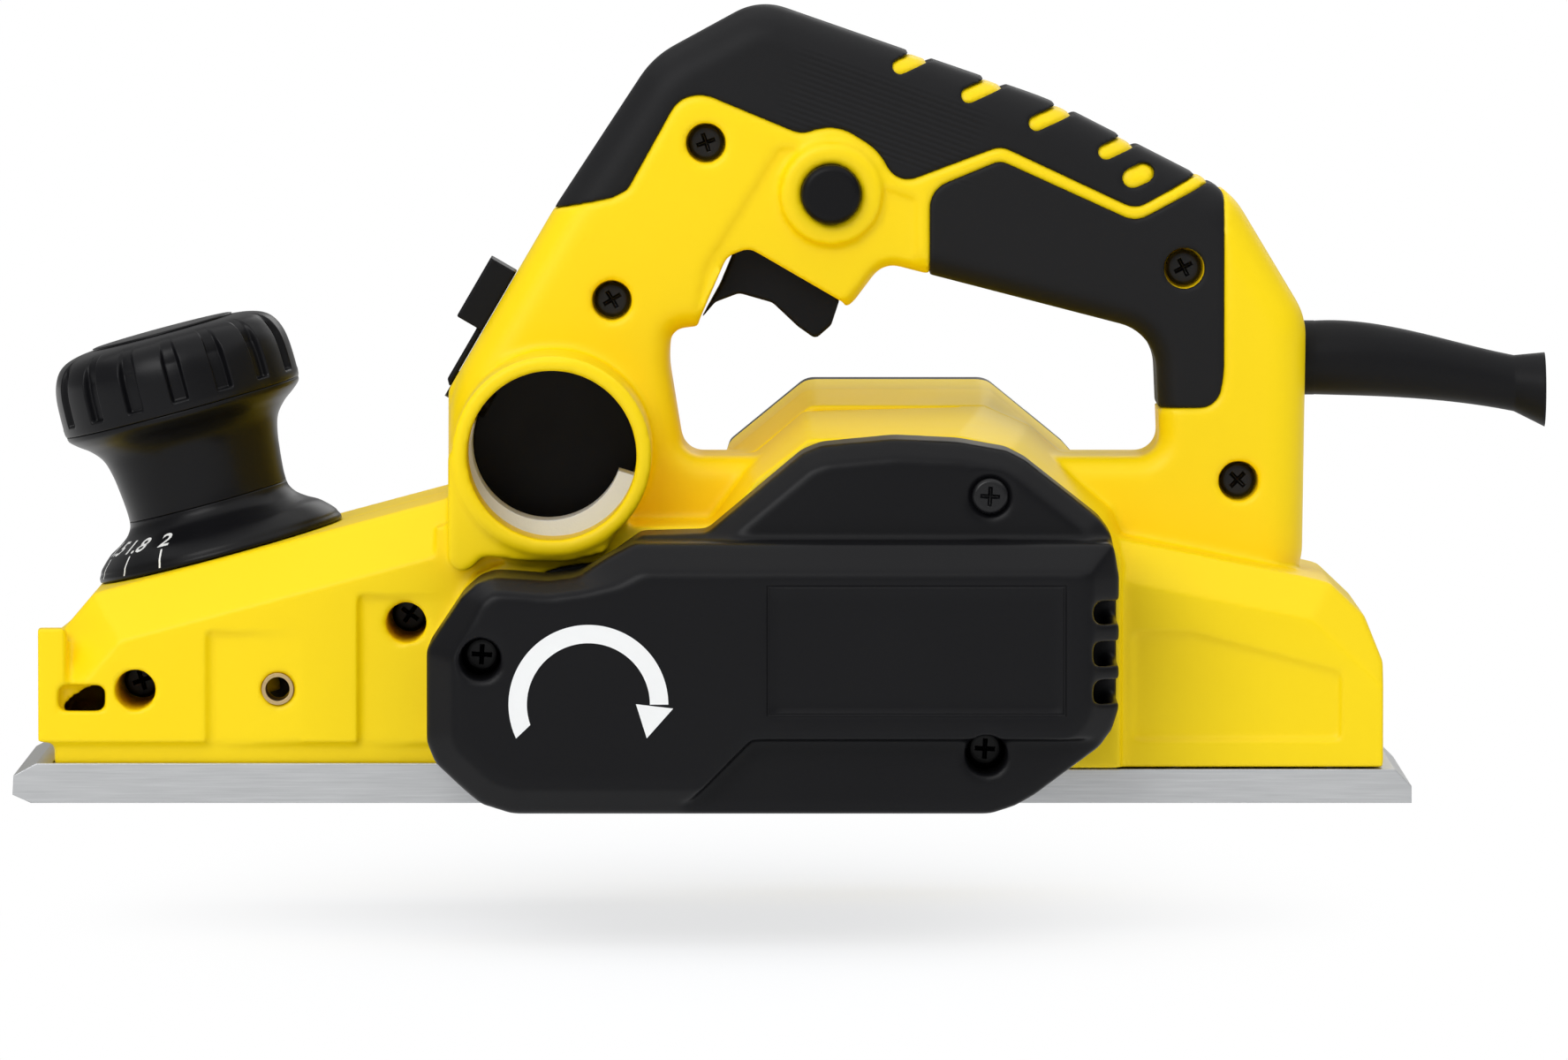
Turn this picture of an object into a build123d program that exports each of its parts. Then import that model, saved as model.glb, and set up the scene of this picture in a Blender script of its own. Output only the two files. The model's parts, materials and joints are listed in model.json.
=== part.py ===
from build123d import *
from math import atan2, cos, degrees, radians, sin, sqrt
import os

# Hand-held electric planer, 82 mm class. Millimetres, +Z up.
# The origin is the middle of the sole, on its sliding face. -X is the leading
# end, -Y the belt side. The housing is two shells that meet on the plane Y = 0.

os.makedirs("parts", exist_ok=True)

# ---------------------------------------------------------------- sole and shoe
sole_width = 82.0
sole_length = 289.6
rear_sole_thickness = 7.0
shoe_rim_height = 8.2
shoe_plate_thickness = 4.2
shoe_rim_width = 1.8
tail_bevel = 3.5

# ---------------------------------------------------------------- cutter and drive
drum_x, drum_z = -25.0, 23.5
blade_circle_radius = 23.2
drum_radius = 21.6
blade_width = 82.0
blade_thickness = 1.2
chamber_radius = 26.2
motor_x, motor_z = 41.0, 49.0
stator_radius = 27.0
stator_bore_radius = 17.5
rotor_radius = 16.5
shaft_radius = 5.0
drum_journal_radius = 6.0
drum_stub_radius = 4.0
drum_pulley_radius = 14.4
motor_pulley_radius = 9.0
belt_thickness = 3.2
belt_width = 8.0
belt_far_y = -62.3
fan_radius = 24.0
bearing_width = 9.0
drum_bearing_radius = 15.0
stub_bearing_radius = 11.0
motor_bearing_radius = 13.0

# ---------------------------------------------------------------- housing
body_half = 40.5
plinth_half = 43.0
handle_half = 17.0
body_bottom = 7.4
strip_inset = 1.9
strip_top = 12.4
wall = 3.0
handle_round = 8.0
opening_round = 5.0
grip_thickness = 1.5
barrel_end_y = 66.0
end_cover_depth = 12.0
port_x, port_z = -33.0, 72.4
port_bore_radius = 17.5
port_socket_length = 18.0
port_duct_radius = 17.9
port_outer_radius = 20.6
port_reach = 50.0
screw_radius = 2.0
screw_head_radius = 3.7
screw_head_height = 2.6
screw_well_radius = 4.2
screw_seat_y = 8.0
boss_radius = 6.6

# ---------------------------------------------------------------- knob
knob_tilt = 15.0
knob_x, knob_z = -103.2, 50.0
skirt_radius = 26.2
cap_radius = 25.4
neck_radius = 17.0
spindle_radius = 5.0

# ---------------------------------------------------------------- belt cover
cover_depth = 36.0
cover_wall = 2.4
cover_bottom = 0.2

# ---------------------------------------------------------------- inside the shells
bush_radius, bush_top, bush_length = 8.0, -1.5, 17.0
guide_pin_radius, guide_pin_y = 3.0, 24.0
guide_top, guide_length = -14.0, 16.0
plate_thickness = 3.3
drum_boss_radius = 18.5
motor_boss_radius = 15.5
motor_bearing_y = -42.0
end_bearing_y = 65.0
drum_bearing_y = -43.5
stub_bearing_y = 50.5
stub_bearing_width = 7.0
stator_near_y, stator_far_y = -12.0, 34.0
sole_screw_places = [(10.0, 30.0), (96.0, 33.0), (128.0, 33.0)]
sole_pillar_radius = 6.0
sole_pillar_top = 20.0
bracket_screw_places = [(-8.0, 50.5), (6.5, 18.0), (41.0, 68.5), (57.5, 39.0)]
side_plate_screw_places = [(-8.0, 50.5), (-44.0, 46.0), (-52.4, 16.0)]
end_cover_screw_places = [(14.0, 69.0), (8.0, 22.0), (67.0, 70.0), (78.0, 22.0)]
insert_radius, insert_bore_radius, insert_length = 3.3, 2.5, 9.0
insert_backing, insert_relief_radius = 0.9, 2.2
insert_x, insert_z = -89.9, 23.6
neck_x, neck_wide, neck_y = -34.0, 20.0, 14.0
lock_x, lock_z = 24.7, 125.3
lock_radius = 6.2
trigger_half = 6.2
trigger_pivot_x, trigger_pivot_z = 8.0, 121.5
pivot_radius = 2.5
sleeve_radius = 7.8
sleeve_z = 90.5
sleeve_flange_radius = 10.4
sleeve_flange_x, sleeve_flange_thickness = 117.3, 3.0
stem_radius = 3.0
lever_pad_half = 9.0
brush_y = 48.5

# ---------------------------------------------------------------- clearances
seat = 0.05          # fixed piece in its seat
running = 0.05       # shaft in a bearing, radial
moving = 0.3         # between pieces that move past each other

sole_half = sole_width / 2
nose_x, tail_x = -sole_length / 2, sole_length / 2
drum_half = blade_width / 2
cover_face_y = -(plinth_half + cover_depth)
belt_near_y = belt_far_y + belt_width
column_lean = degrees(atan2(122.0 - 84.0, 55.3 - 33.2))


# ================================================================ drawing helpers
def at_y(y):
    """Sketch plane across the tool at depth y: local x is X, local y is Z."""
    return Plane.XZ.offset(-y)


def bar(x, z, radius, y_from, y_to, mode=Mode.ADD):
    """Round bar along Y, from the higher y_from down to y_to."""
    with BuildSketch(at_y(y_from)) as profile:
        with Locations((x, z)):
            Circle(radius)
    extrude(profile.sketch, amount=y_from - y_to, mode=mode)


def slab(points, y_from, y_to, radii=0, grow=0.0, mode=Mode.ADD):
    """Flat slab along Y with a filleted outline, grown or shrunk evenly."""
    with BuildSketch(at_y(y_from)) as profile:
        with BuildLine():
            FilletPolyline(*points, radius=radii, close=True)
        make_face()
        if grow:
            offset(amount=grow, kind=Kind.INTERSECTION)
    extrude(profile.sketch, amount=y_from - y_to, mode=mode)


def block(x_from, x_to, y_from, y_to, z_from, z_to, mode=Mode.ADD):
    """Plain block between two corners."""
    with BuildSketch(Plane.XY.offset(z_from)) as profile:
        with Locations(((x_from + x_to) / 2, (y_from + y_to) / 2)):
            Rectangle(x_to - x_from, y_to - y_from)
    extrude(profile.sketch, amount=z_to - z_from, mode=mode)


def screw_along_y(x, z, head_y, length):
    """Cross-head screw along Y: its head's underside lies at head_y."""
    bar(x, z, screw_radius, head_y + length, head_y - 0.5)
    bar(x, z, screw_head_radius, head_y, head_y - screw_head_height)
    face_y = head_y - screw_head_height
    for turn in (0, 90):
        with BuildSketch(at_y(face_y + 1.6)) as slot:
            with Locations(Location((x, z), turn)):
                Rectangle(4.2, 0.9)
        extrude(slot.sketch, amount=2.0, mode=Mode.SUBTRACT)


def write(builder, name):
    """Label a finished piece and write its file."""
    builder.part.label = name
    export_step(builder.part, "parts/" + name + ".step")


def turned_form(origin, direction, x_dir, points, mode=Mode.ADD):
    """Solid of revolution from (radius, height) points about an axis."""
    side = Plane(origin=origin, x_dir=x_dir, z_dir=Vector(*x_dir).cross(Vector(*direction)))
    with BuildSketch(side) as profile:
        with BuildLine():
            Polyline(*points, close=True)
        make_face()
    revolve(profile.sketch, Axis(origin, direction), mode=mode)


def turned_knob(points, mode=Mode.ADD):
    """Solid of revolution about the knob's axis."""
    base = on_knob_axis(0)
    turned_form(tuple(base.origin), tuple(base.z_dir), tuple(base.x_dir), points, mode)


def ring(x, z, outer, inner, y_from, y_to):
    """Plain ring along Y."""
    bar(x, z, outer, y_from, y_to)
    bar(x, z, inner, y_from + 1, y_to - 1, Mode.SUBTRACT)


def ball_bearing(x, z, outer, inner, y_from, width):
    """Sealed ball bearing along Y: two races and the shields between them."""
    ring(x, z, outer, inner, y_from, y_from - width)
    step = (outer - inner) / 4
    for y in (y_from + 1, y_from - width + 0.5):
        with BuildSketch(at_y(y)) as shield:
            with Locations((x, z)):
                Circle(outer - step)
                Circle(inner + step, mode=Mode.SUBTRACT)
        extrude(shield.sketch, amount=1.5, mode=Mode.SUBTRACT)


def around(discs, y_from, y_to):
    """Flat plate along Y whose edge runs tightly round several discs."""
    with BuildSketch(at_y(y_from)) as profile:
        with BuildLine() as edges:
            for x, z, radius in discs:
                CenterArc((x, z), radius, 0, 360)
        make_hull(edges.edges())
    extrude(profile.sketch, amount=y_from - y_to)


def inset(points, distance):
    """The same closed outline moved inwards; corners stay corners."""
    moved = []
    count = len(points)
    area = sum(points[i - 1][0] * points[i][1] - points[i][0] * points[i - 1][1] for i in range(count))
    hand = 1 if area > 0 else -1
    for i in range(count):
        (x0, z0), (x1, z1), (x2, z2) = points[i - 1], points[i], points[(i + 1) % count]
        first, second = sqrt((x1 - x0) ** 2 + (z1 - z0) ** 2), sqrt((x2 - x1) ** 2 + (z2 - z1) ** 2)
        n1 = (-(z1 - z0) / first * hand, (x1 - x0) / first * hand)
        n2 = (-(z2 - z1) / second * hand, (x2 - x1) / second * hand)
        share = distance / (1 + n1[0] * n2[0] + n1[1] * n2[1])
        moved.append((x1 + (n1[0] + n2[0]) * share, z1 + (n1[1] + n2[1]) * share))
    return moved


def between(sections):
    """Straight-sided solid through outlines given as (y, points)."""
    with BuildPart() as form:
        for y, points in sections:
            with BuildSketch(at_y(y)):
                with BuildLine():
                    Polyline(*points, close=True)
                make_face()
        loft(ruled=True)
    return form.part


# ================================================================ outlines
# D-handle: the outer line and the hand opening, both in the XZ plane.
handle_outline = [
    (-55.3, 46.0), (-55.3, 84.0), (-33.2, 122.0), (-12.6, 153.4), (9.8, 165.6),
    (40.2, 155.0), (71.0, 144.4), (108.6, 125.2), (124.0, 99.5), (123.2, 42.0),
]
handle_radii = [9, 30, 60, 20, 13, 80, 80, 14, 14, 9]
opening_outline = [
    (-6.0, 70.5), (-9.2, 90.0), (-8.6, 96.9), (28.3, 101.2), (35.6, 110.9),
    (92.3, 96.2), (93.4, 70.5),
]
opening_radii = [4.5, 20, 3, 6.2, 5, 10, 4.5]
# Where the trigger enters the handle, above the opening.
trigger_pocket = [(-3.0, 92.0), (-2.9, 98.6), (3.0, 112.2), (7.6, 114.0), (27.6, 102.4), (27.6, 92.0)]
trigger_pocket_radii = [0, 0, 3, 3, 0, 0]

# Over-moulded soft grips, drawn past the handle's edge on their outer side.
upper_grip_outline = [
    (-40.0, 120.8), (-21.0, 124.2), (-17.5, 126.0), (-6.6, 145.6), (-1.2, 145.6), (19.0, 137.2),
    (24.7, 140.2), (34.2, 134.4), (38.4, 126.9), (60.0, 135.0), (88.2, 121.8), (102.0, 129.6),
    (112.0, 150.0), (40.0, 175.0), (-30.0, 175.0), (-60.0, 135.0),
]
upper_grip_radii = [0, 2, 2, 6, 6, 6, 9, 12, 5, 4, 5, 0, 0, 0, 0, 0]
lower_grip_outline = [
    (45.0, 103.0), (45.0, 126.4), (60.0, 132.6), (88.2, 119.8), (103.6, 128.0), (106.9, 126.0),
    (106.9, 88.0), (105.6, 80.4), (93.6, 80.4), (84.0, 78.0), (70.0, 92.0),
]
lower_grip_radii = [0, 6, 4, 5, 2, 3, 8, 5, 4, 0, 0]
grip_slot_starts = [(37.6, 151.2), (51.9, 145.2), (66.0, 139.4), (80.5, 133.4)]
grip_slot_angle = 24.0
grip_slot_width = 3.2
grip_slot_length = 15.0
grip_window = (88.7, 129.2)

# Front body, rear body and the two sides of the motor barrel.
front_outline = [
    (-139.5, strip_top), (-139.5, 31.0), (-136.6, 33.2), (-128.3, 43.0), (-52.0, 63.4), (-52.0, strip_top),
]
rear_outline = [
    (70.0, body_bottom), (70.0, 58.0), (84.0, 54.5), (123.0, 46.6), (128.0, 45.4), (135.2, 38.6),
    (139.0, 29.0), (139.0, body_bottom),
]
rear_radii = 0
plinth_outline = [
    (-55.5, body_bottom), (-57.0, 14.0), (-57.0, 34.0), (-49.0, 47.5), (-42.0, 50.2), (-42.0, 57.4),
    (2.0, 57.4),
    (9.0, 67.0), (20.0, 75.4), (51.0, 76.0), (62.0, 73.6), (81.0, 58.4), (84.6, 50.0), (84.6, body_bottom),
]
flared_outline = [
    (-55.5, body_bottom), (-57.0, 14.0), (-57.0, 34.0), (-49.0, 47.5), (-42.0, 50.2), (-42.0, 57.4),
    (-2.0, 57.4),
    (5.6, 67.8), (19.0, 79.4), (57.0, 80.4), (66.0, 76.4), (84.5, 60.5), (88.5, 50.0), (88.5, body_bottom),
]
barrel_outline = [
    (-6.0, 40.0), (3.2, 69.6), (19.6, 83.0), (58.2, 83.0), (74.6, 69.6), (88.4, 54.0), (89.0, 26.0),
    (76.0, 9.6), (8.0, 9.6), (-2.0, 22.0),
]
barrel_radii = [8, 3, 5, 5, 3, 8, 8, 8, 8, 8]
barrel_taper, barrel_taper_length = 2.6, 20.0
# The block round the dust port, flush with the socket's lip but for a step.
port_block = [
    (-54.4, 72.4), (-54.4, 44.0), (-47.2, 51.6), (-38.0, 50.6), (-30.0, 50.4), (-22.0, 52.4), (-17.5, 60.0),
    (-17.5, 72.4),
]
port_block_step = 1.6

# Belt cover, seen from the side.
cover_line = [
    (-58.2, 34.0), (-51.0, 44.8), (-47.8, 47.6), (-44.6, 48.8), (-38.6, 48.4), (-33.4, 48.0), (-27.4, 48.8),
    (-21.5, 51.8), (-14.5, 56.8), (-1.0, 57.2), (18.6, 73.6), (22.6, 75.2), (37.5, 76.6), (50.5, 76.0),
    (60.6, 74.2),
    (64.4, 72.2), (79.6, 60.2), (82.0, 57.0), (83.4, 49.0), (83.4, 22.0), (82.0, 17.6), (79.4, 14.0),
    (66.0, 4.0),
    (62.0, 1.8), (57.0, cover_bottom), (-40.6, cover_bottom), (-47.0, 2.2), (-50.0, 4.6), (-56.4, 10.6),
    (-58.2, 15.0),
]
plateau_line = [
    (-58.2, 34.0), (-51.0, 44.8), (-47.8, 47.6), (-44.6, 48.8), (-38.6, 48.4), (-33.4, 48.0), (-27.4, 48.8),
    (-21.5, 52.6), (-15.5, 55.8), (10.0, 55.8), (82.2, 55.8), (83.4, 49.0), (83.4, 22.0), (82.0, 17.6),
    (79.4, 14.0),
    (66.0, 4.0), (62.0, 1.8), (57.0, cover_bottom), (-40.6, cover_bottom), (-47.0, 2.2), (-50.0, 4.6),
    (-56.4, 10.6),
    (-58.2, 15.0),
]

housing_screw_places = [
    (-119.4, 23.4, body_half), (-63.3, 37.3, body_half), (-21.0, 103.1, handle_half),
    (-1.4, 135.9, handle_half), (98.3, 109.8, handle_half), (109.7, 65.4, handle_half),
]
cover_screw_places = [(57.1, 65.0), (56.2, 12.6), (-47.1, 32.3)]
trigger_slot = [(1.5, 104.0), (1.5, 128.0), (16.0, 128.0), (34.0, 112.0), (33.0, 98.0), (12.0, 98.0)]
lock_region = [
    (13.6, 135.0), (20.7, 134.6), (25.0, 137.4), (32.6, 132.6), (36.2, 126.6), (42.6, 124.6), (42.8, 107.0),
    (35.6, 106.0), (28.3, 97.0), (6.5, 108.0), (2.0, 110.0), (-4.5, 97.0), (-2.0, 110.0),
]
ridge_places = [(-104.5, 35.4), (-73.3, 43.0)]
rear_panel = [(86.8, 12.8), (86.8, 35.4), (99.5, 35.4), (130.4, 27.2), (130.4, 12.8)]


# ================================================================ housing forms
def loop_form(grow):
    """Left half of the D-handle loop, grown (or shrunk, if negative) evenly."""
    depth = handle_half + grow
    with BuildPart() as form:
        slab(handle_outline, 0, -depth, handle_radii, grow)
        slab(opening_outline, 1, -depth - 1, opening_radii, -grow, Mode.SUBTRACT)
        side = form.faces().sort_by(Axis.Y)[0]
        outer_edges = side.outer_wire().edges()
        inner_edges = side.inner_wires()[0].edges()
        fillet(outer_edges, handle_round + grow)
        fillet(inner_edges, opening_round + grow)
    return form.part


def body_form(outline, radii, grow, bevel_from, bevel_wide, bevel_high):
    """Left half of a body block whose upper long edges carry a broad bevel."""
    with BuildPart() as form:
        slab(outline, 0, -body_half - grow, radii, grow)
        long_edges = [
            edge for edge in form.faces().sort_by(Axis.Y)[0].edges()
            if edge.center().Z > bevel_from and abs(edge.tangent_at(0.5).X) > 0.5
        ]
        top_face = form.faces().sort_by(Axis.Y)[0]
        chamfer(long_edges, bevel_wide, bevel_high, reference=top_face)
    return form.part


def flare_form(grow):
    """Left half of the drive housing: from the cover's seat it widens inwards."""
    near_y = -plinth_half - grow
    with BuildPart() as form:
        for y, outline in ((0.0, flared_outline), (near_y, plinth_outline)):
            with BuildSketch(at_y(y)):
                with BuildLine():
                    Polyline(*outline, close=True)
                make_face()
                if grow:
                    offset(amount=grow, kind=Kind.INTERSECTION)
        loft(ruled=True)
    return form.part



def on_knob_axis(height):
    """Plane square to the knob's axis, at this height above the skirt's rim."""
    lean = radians(knob_tilt)
    origin = (knob_x - height * sin(lean), 0, knob_z + height * cos(lean))
    return Plane(origin=origin, x_dir=(cos(lean), 0, sin(lean)), z_dir=(-sin(lean), 0, cos(lean)))


def knob_bar(radius, low, high, mode=Mode.ADD, x=0.0, y=0.0):
    """Round bar along the knob's axis, between two heights."""
    with BuildSketch(on_knob_axis(low)) as profile:
        with Locations((x, y)):
            Circle(radius)
    extrude(profile.sketch, amount=high - low, mode=mode)


def grip_slots(grow, y_to, mode):
    """The slanted slots and the small window through the upper grip."""
    for x, z in grip_slot_starts:
        with BuildSketch(at_y(0)) as slot:
            with Locations(Location((x, z), grip_slot_angle)):
                SlotOverall(grip_slot_length + 2 * grow, grip_slot_width + 2 * grow,
                            align=(Align.MIN, Align.CENTER))
        extrude(slot.sketch, amount=-y_to, mode=mode)
    with BuildSketch(at_y(0)) as window:
        with Locations(Location(grip_window, grip_slot_angle)):
            SlotOverall(6.8 + 2 * grow, 4.2 + 2 * grow)
    extrude(window.sketch, amount=-y_to, mode=mode)


bevel_wide, bevel_high = 10.5, 9.5
loop_outer = loop_form(0)
loop_inner = loop_form(-wall)
loop_proud = loop_form(1.0)
loop_grip_seat = loop_form(-grip_thickness)
loop_grip_back = loop_form(seat - grip_thickness)
loop_slot_floor = loop_form(-0.6)
front_outer = body_form(front_outline, 0, 0, 32, bevel_wide, bevel_high)
front_inner = body_form(front_outline, 0, -wall, 29, bevel_wide, bevel_high)
rear_outer = body_form(rear_outline, rear_radii, 0, 37, 8.0, 6.0)
rear_inner = body_form(rear_outline, rear_radii, -wall, 34, 8.0, 6.0)
flare_outer = flare_form(0)
flare_inner = flare_form(-wall)

with BuildPart() as barrel_form:
    slab(barrel_outline, barrel_end_y, 0, barrel_radii)
    near_face = barrel_form.faces().sort_by(Axis.Y)[0]
    chamfer(near_face.edges(), barrel_taper, barrel_taper_length, reference=near_face)
barrel_outer = barrel_form.part

# Outer skin that both shells share, drawn on the belt side.
strip_half = body_half - strip_inset
with BuildPart() as common_skin:
    add(front_outer)
    add(rear_outer)
    add(loop_outer)
    slab([(-136.3, body_bottom), (-136.3, 14), (-40, 14), (-40, body_bottom)], 0, -strip_half)
    slab([(-57.0, 13.0), (-57.0, 57.4), (-12.0, 57.4), (-12.0, 13.0)], 0, -body_half)
    # flat pad that the chip lever turns on, square to its stem
    slab([(-55.3, port_z), (-55.3, 84.0), (-44.25, 103.0), (-40.0, 103.0), (-40.0, port_z)], 0, -lever_pad_half)

with BuildPart() as left_skin:
    add(common_skin.part)
    add(flare_outer)
    slab(port_block, 0, port_block_step - port_reach, [0, 3, 2, 2, 0, 0, 0, 0])
    bar(port_x, port_z, port_outer_radius, 0, -port_reach)
    # corner ear at the front, and the step that leaves room for the shoe's rim
    slab([(-139.5, strip_top), (-139.5, 36.0), (-133.6, 36.0), (-133.6, strip_top)], -body_half + 6, -body_half)
    block(-60, -40, -plinth_half - 1, -strip_half, body_bottom - 1, strip_top, Mode.SUBTRACT)

with BuildPart() as right_skin:
    add(mirror(common_skin.part, about=Plane.XZ))
    slab(flared_outline, body_half, 0)
    add(barrel_outer)
    slab(port_block, plinth_half, 0)
    bar(port_x, port_z, port_outer_radius, port_reach, 0)
    bar(drum_x, drum_z, chamber_radius + wall, plinth_half, 0)
    for x, z in side_plate_screw_places:
        bar(x, z, 4.6, plinth_half, plinth_half - 14.0)
    block(-60, 8, strip_half, plinth_half + 1, 0, strip_top, Mode.SUBTRACT)
    block(-60, 8, -1, plinth_half + 1, -10, body_bottom, Mode.SUBTRACT)


def on_stem(distance):
    """Plane square to the chip lever's stem, this far from the port's axis."""
    lean = radians(90.0 - column_lean)
    origin = (port_x - distance * cos(lean), 0, port_z + distance * sin(lean))
    return Plane(origin=origin, x_dir=(sin(lean), 0, cos(lean)), z_dir=(-cos(lean), 0, sin(lean)))


def stem_bar(radius, near, far, mode=Mode.ADD):
    """Round bar along the chip lever's stem."""
    with BuildSketch(on_stem(near)) as profile:
        Circle(radius)
    extrude(profile.sketch, amount=far - near, mode=mode)


def inner_bosses(skin, side):
    """Everything that a shell carries inside, cut to the shell's own outside."""
    with BuildPart() as bosses:
        for x, z, half in housing_screw_places:
            bar(x, z, boss_radius, half, -half)
        # tube round the cutter, the neck above it and the cross duct
        bar(drum_x, drum_z, chamber_radius + wall, plinth_half + wall, -plinth_half)
        block(neck_x - neck_wide / 2 - wall, neck_x + neck_wide / 2 + wall,
              -neck_y - wall, neck_y + wall, 44.0, 60.0)
        bar(port_x, port_z, port_outer_radius, port_reach, -port_reach)
        stem_bar(stem_radius + wall, 15.0, 26.0)
        # spindle bush and guide pins for the front shoe
        knob_bar(bush_radius + 4.0, -24.0, -0.5)
        for y in (-guide_pin_y, guide_pin_y):
            knob_bar(guide_pin_radius + wall, guide_top - guide_length, 0, y=y)
        for x, y in sole_screw_places:
            for each in (-y, y):
                with BuildSketch(Plane.XY.offset(rear_sole_thickness + seat)) as pillar:
                    with Locations((x, each)):
                        Circle(sole_pillar_radius)
                extrude(pillar.sketch, amount=sole_pillar_top - rear_sole_thickness)
        # two ribs that hold the stator, the baffle and the grommet's slot
        for y in (stator_near_y + 6.0, stator_far_y - 3.0):
            slab([(-30.0, 12.0), (-30.0, 90.0), (95.0, 90.0), (95.0, 12.0)], y, y - 3.0)
        block(113.6, 122.5, -handle_half, handle_half, 78.0, 103.0)
        # walls of the trigger's pocket and the pivot's eye
        slab(trigger_pocket, handle_half, -handle_half, trigger_pocket_radii, wall)
        bar(trigger_pivot_x, trigger_pivot_z, pivot_radius + wall, handle_half, -handle_half)
        for y in (body_half, insert_length + insert_backing - body_half):
            bar(insert_x, insert_z, insert_radius + wall, y, y - insert_length - insert_backing)
        if side > 0:
            bar(motor_x, motor_z, motor_bearing_radius + wall, barrel_end_y, 54.0)
            block(-12.0, 95.0, 54.0, 57.0, motor_z - 9.0, motor_z + 9.0)
            for x, z in side_plate_screw_places:
                bar(x, z, 5.0, plinth_half, plinth_half - 14.0)
            for x, z in end_cover_screw_places:
                bar(x, z, 5.0, barrel_end_y, barrel_end_y - 16.0)
        if side < 0:
            for x, z in bracket_screw_places:
                bar(x, z, 5.0, -plinth_half + 14.0, -plinth_half)
            for x, z in cover_screw_places:
                bar(x, z, 5.0, -plinth_half + 14.0, -plinth_half)
        add(skin.part, mode=Mode.INTERSECT)
    return bosses.part


def cut_common(side):
    """Bores and slots that both shells share."""
    reach = 70.0
    bar(port_x, port_z, port_bore_radius, reach, -reach, Mode.SUBTRACT)
    socket_end = port_reach - port_socket_length
    bar(port_x, port_z, port_duct_radius, socket_end, -socket_end, Mode.SUBTRACT)
    bar(drum_x, drum_z, chamber_radius, plinth_half + seat, -reach, Mode.SUBTRACT)
    block(neck_x - neck_wide / 2, neck_x + neck_wide / 2, -neck_y, neck_y, 40.0, 62.0, Mode.SUBTRACT)
    stem_bar(stem_radius + running, 0.0, 40.0, Mode.SUBTRACT)
    for y in (36.0, -30.0):
        bar(insert_x, insert_z, insert_relief_radius, y, y - 6.0, Mode.SUBTRACT)
    knob_bar(bush_radius + seat, -26.0, 2.0, Mode.SUBTRACT)
    for y in (-guide_pin_y, guide_pin_y):
        knob_bar(guide_pin_radius + running, guide_top - guide_length - 2.0, guide_top + 9.0, Mode.SUBTRACT,
                 y=y)
    bar(motor_x, motor_z, stator_radius + seat, stator_far_y + 2.0, stator_near_y - 9.0, Mode.SUBTRACT)
    bar(motor_x, motor_z, fan_radius + 0.8, 0, -plinth_half + wall, Mode.SUBTRACT)
    slab(trigger_pocket, handle_half + 4, -handle_half - 4, trigger_pocket_radii, 0, Mode.SUBTRACT)
    slab(trigger_slot, trigger_half + moving, -trigger_half - moving, 0, 0, Mode.SUBTRACT)
    bar(trigger_pivot_x, trigger_pivot_z, pivot_radius + seat, 12.0, -12.0, Mode.SUBTRACT)
    with BuildSketch(Plane.YZ.offset(112.0)) as sleeve_hole:
        with Locations((0, sleeve_z)):
            Circle(sleeve_radius + seat)
    extrude(sleeve_hole.sketch, amount=20.0, mode=Mode.SUBTRACT)
    with BuildSketch(Plane.YZ.offset(sleeve_flange_x - seat)) as flange_slot:
        with Locations((0, sleeve_z)):
            Circle(sleeve_flange_radius + seat)
    extrude(flange_slot.sketch, amount=sleeve_flange_thickness + 2 * seat, mode=Mode.SUBTRACT)
    for x, y in sole_screw_places:
        for each in (-y, y):
            with BuildSketch(Plane.XY.offset(rear_sole_thickness - 1)) as screw_hole:
                with Locations((x, each)):
                    Circle(screw_radius + seat)
            extrude(screw_hole.sketch, amount=14.0, mode=Mode.SUBTRACT)
    # recesses for the soft grips
    for outline, radii in ((upper_grip_outline, upper_grip_radii), (lower_grip_outline, lower_grip_radii)):
        add(grip_recess(outline, radii, side), mode=Mode.SUBTRACT)


def turned(part, side):
    """The part itself for the belt side, its mirror image for the other."""
    return part if side < 0 else mirror(part, about=Plane.XZ)


def grip_recess(outline, radii, side):
    """Hollow in the shell that a soft grip fills; slots keep a lower rib."""
    with BuildPart() as hollow:
        add(loop_proud)
        add(loop_grip_seat, mode=Mode.SUBTRACT)
        slab(outline, 1, -30, radii, 0, Mode.INTERSECT)
        if outline is upper_grip_outline:
            grip_slots(-moving, -30, Mode.SUBTRACT)
    with BuildPart() as lowered:
        add(loop_proud)
        add(loop_slot_floor, mode=Mode.SUBTRACT)
        slab(outline, 1, -30, radii, 0, Mode.INTERSECT)
    with BuildPart() as whole:
        add(hollow.part)
        add(lowered.part)
    return turned(whole.part, side)


def soft_grip(outline, radii, side):
    """Soft skin moulded over one side of the handle."""
    with BuildPart() as grip:
        add(loop_outer)
        add(loop_grip_back, mode=Mode.SUBTRACT)
        slab(outline, 1, -30, radii, -0.25, Mode.INTERSECT)
        if outline is upper_grip_outline:
            grip_slots(0, -30, Mode.SUBTRACT)
        if side < 0:
            for x, z, half in housing_screw_places:
                bar(x, z, screw_well_radius, 0, -half - 1, Mode.SUBTRACT)
    return turned(grip.part, side)


left_bosses = inner_bosses(left_skin, -1)
right_bosses = inner_bosses(right_skin, 1)

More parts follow.
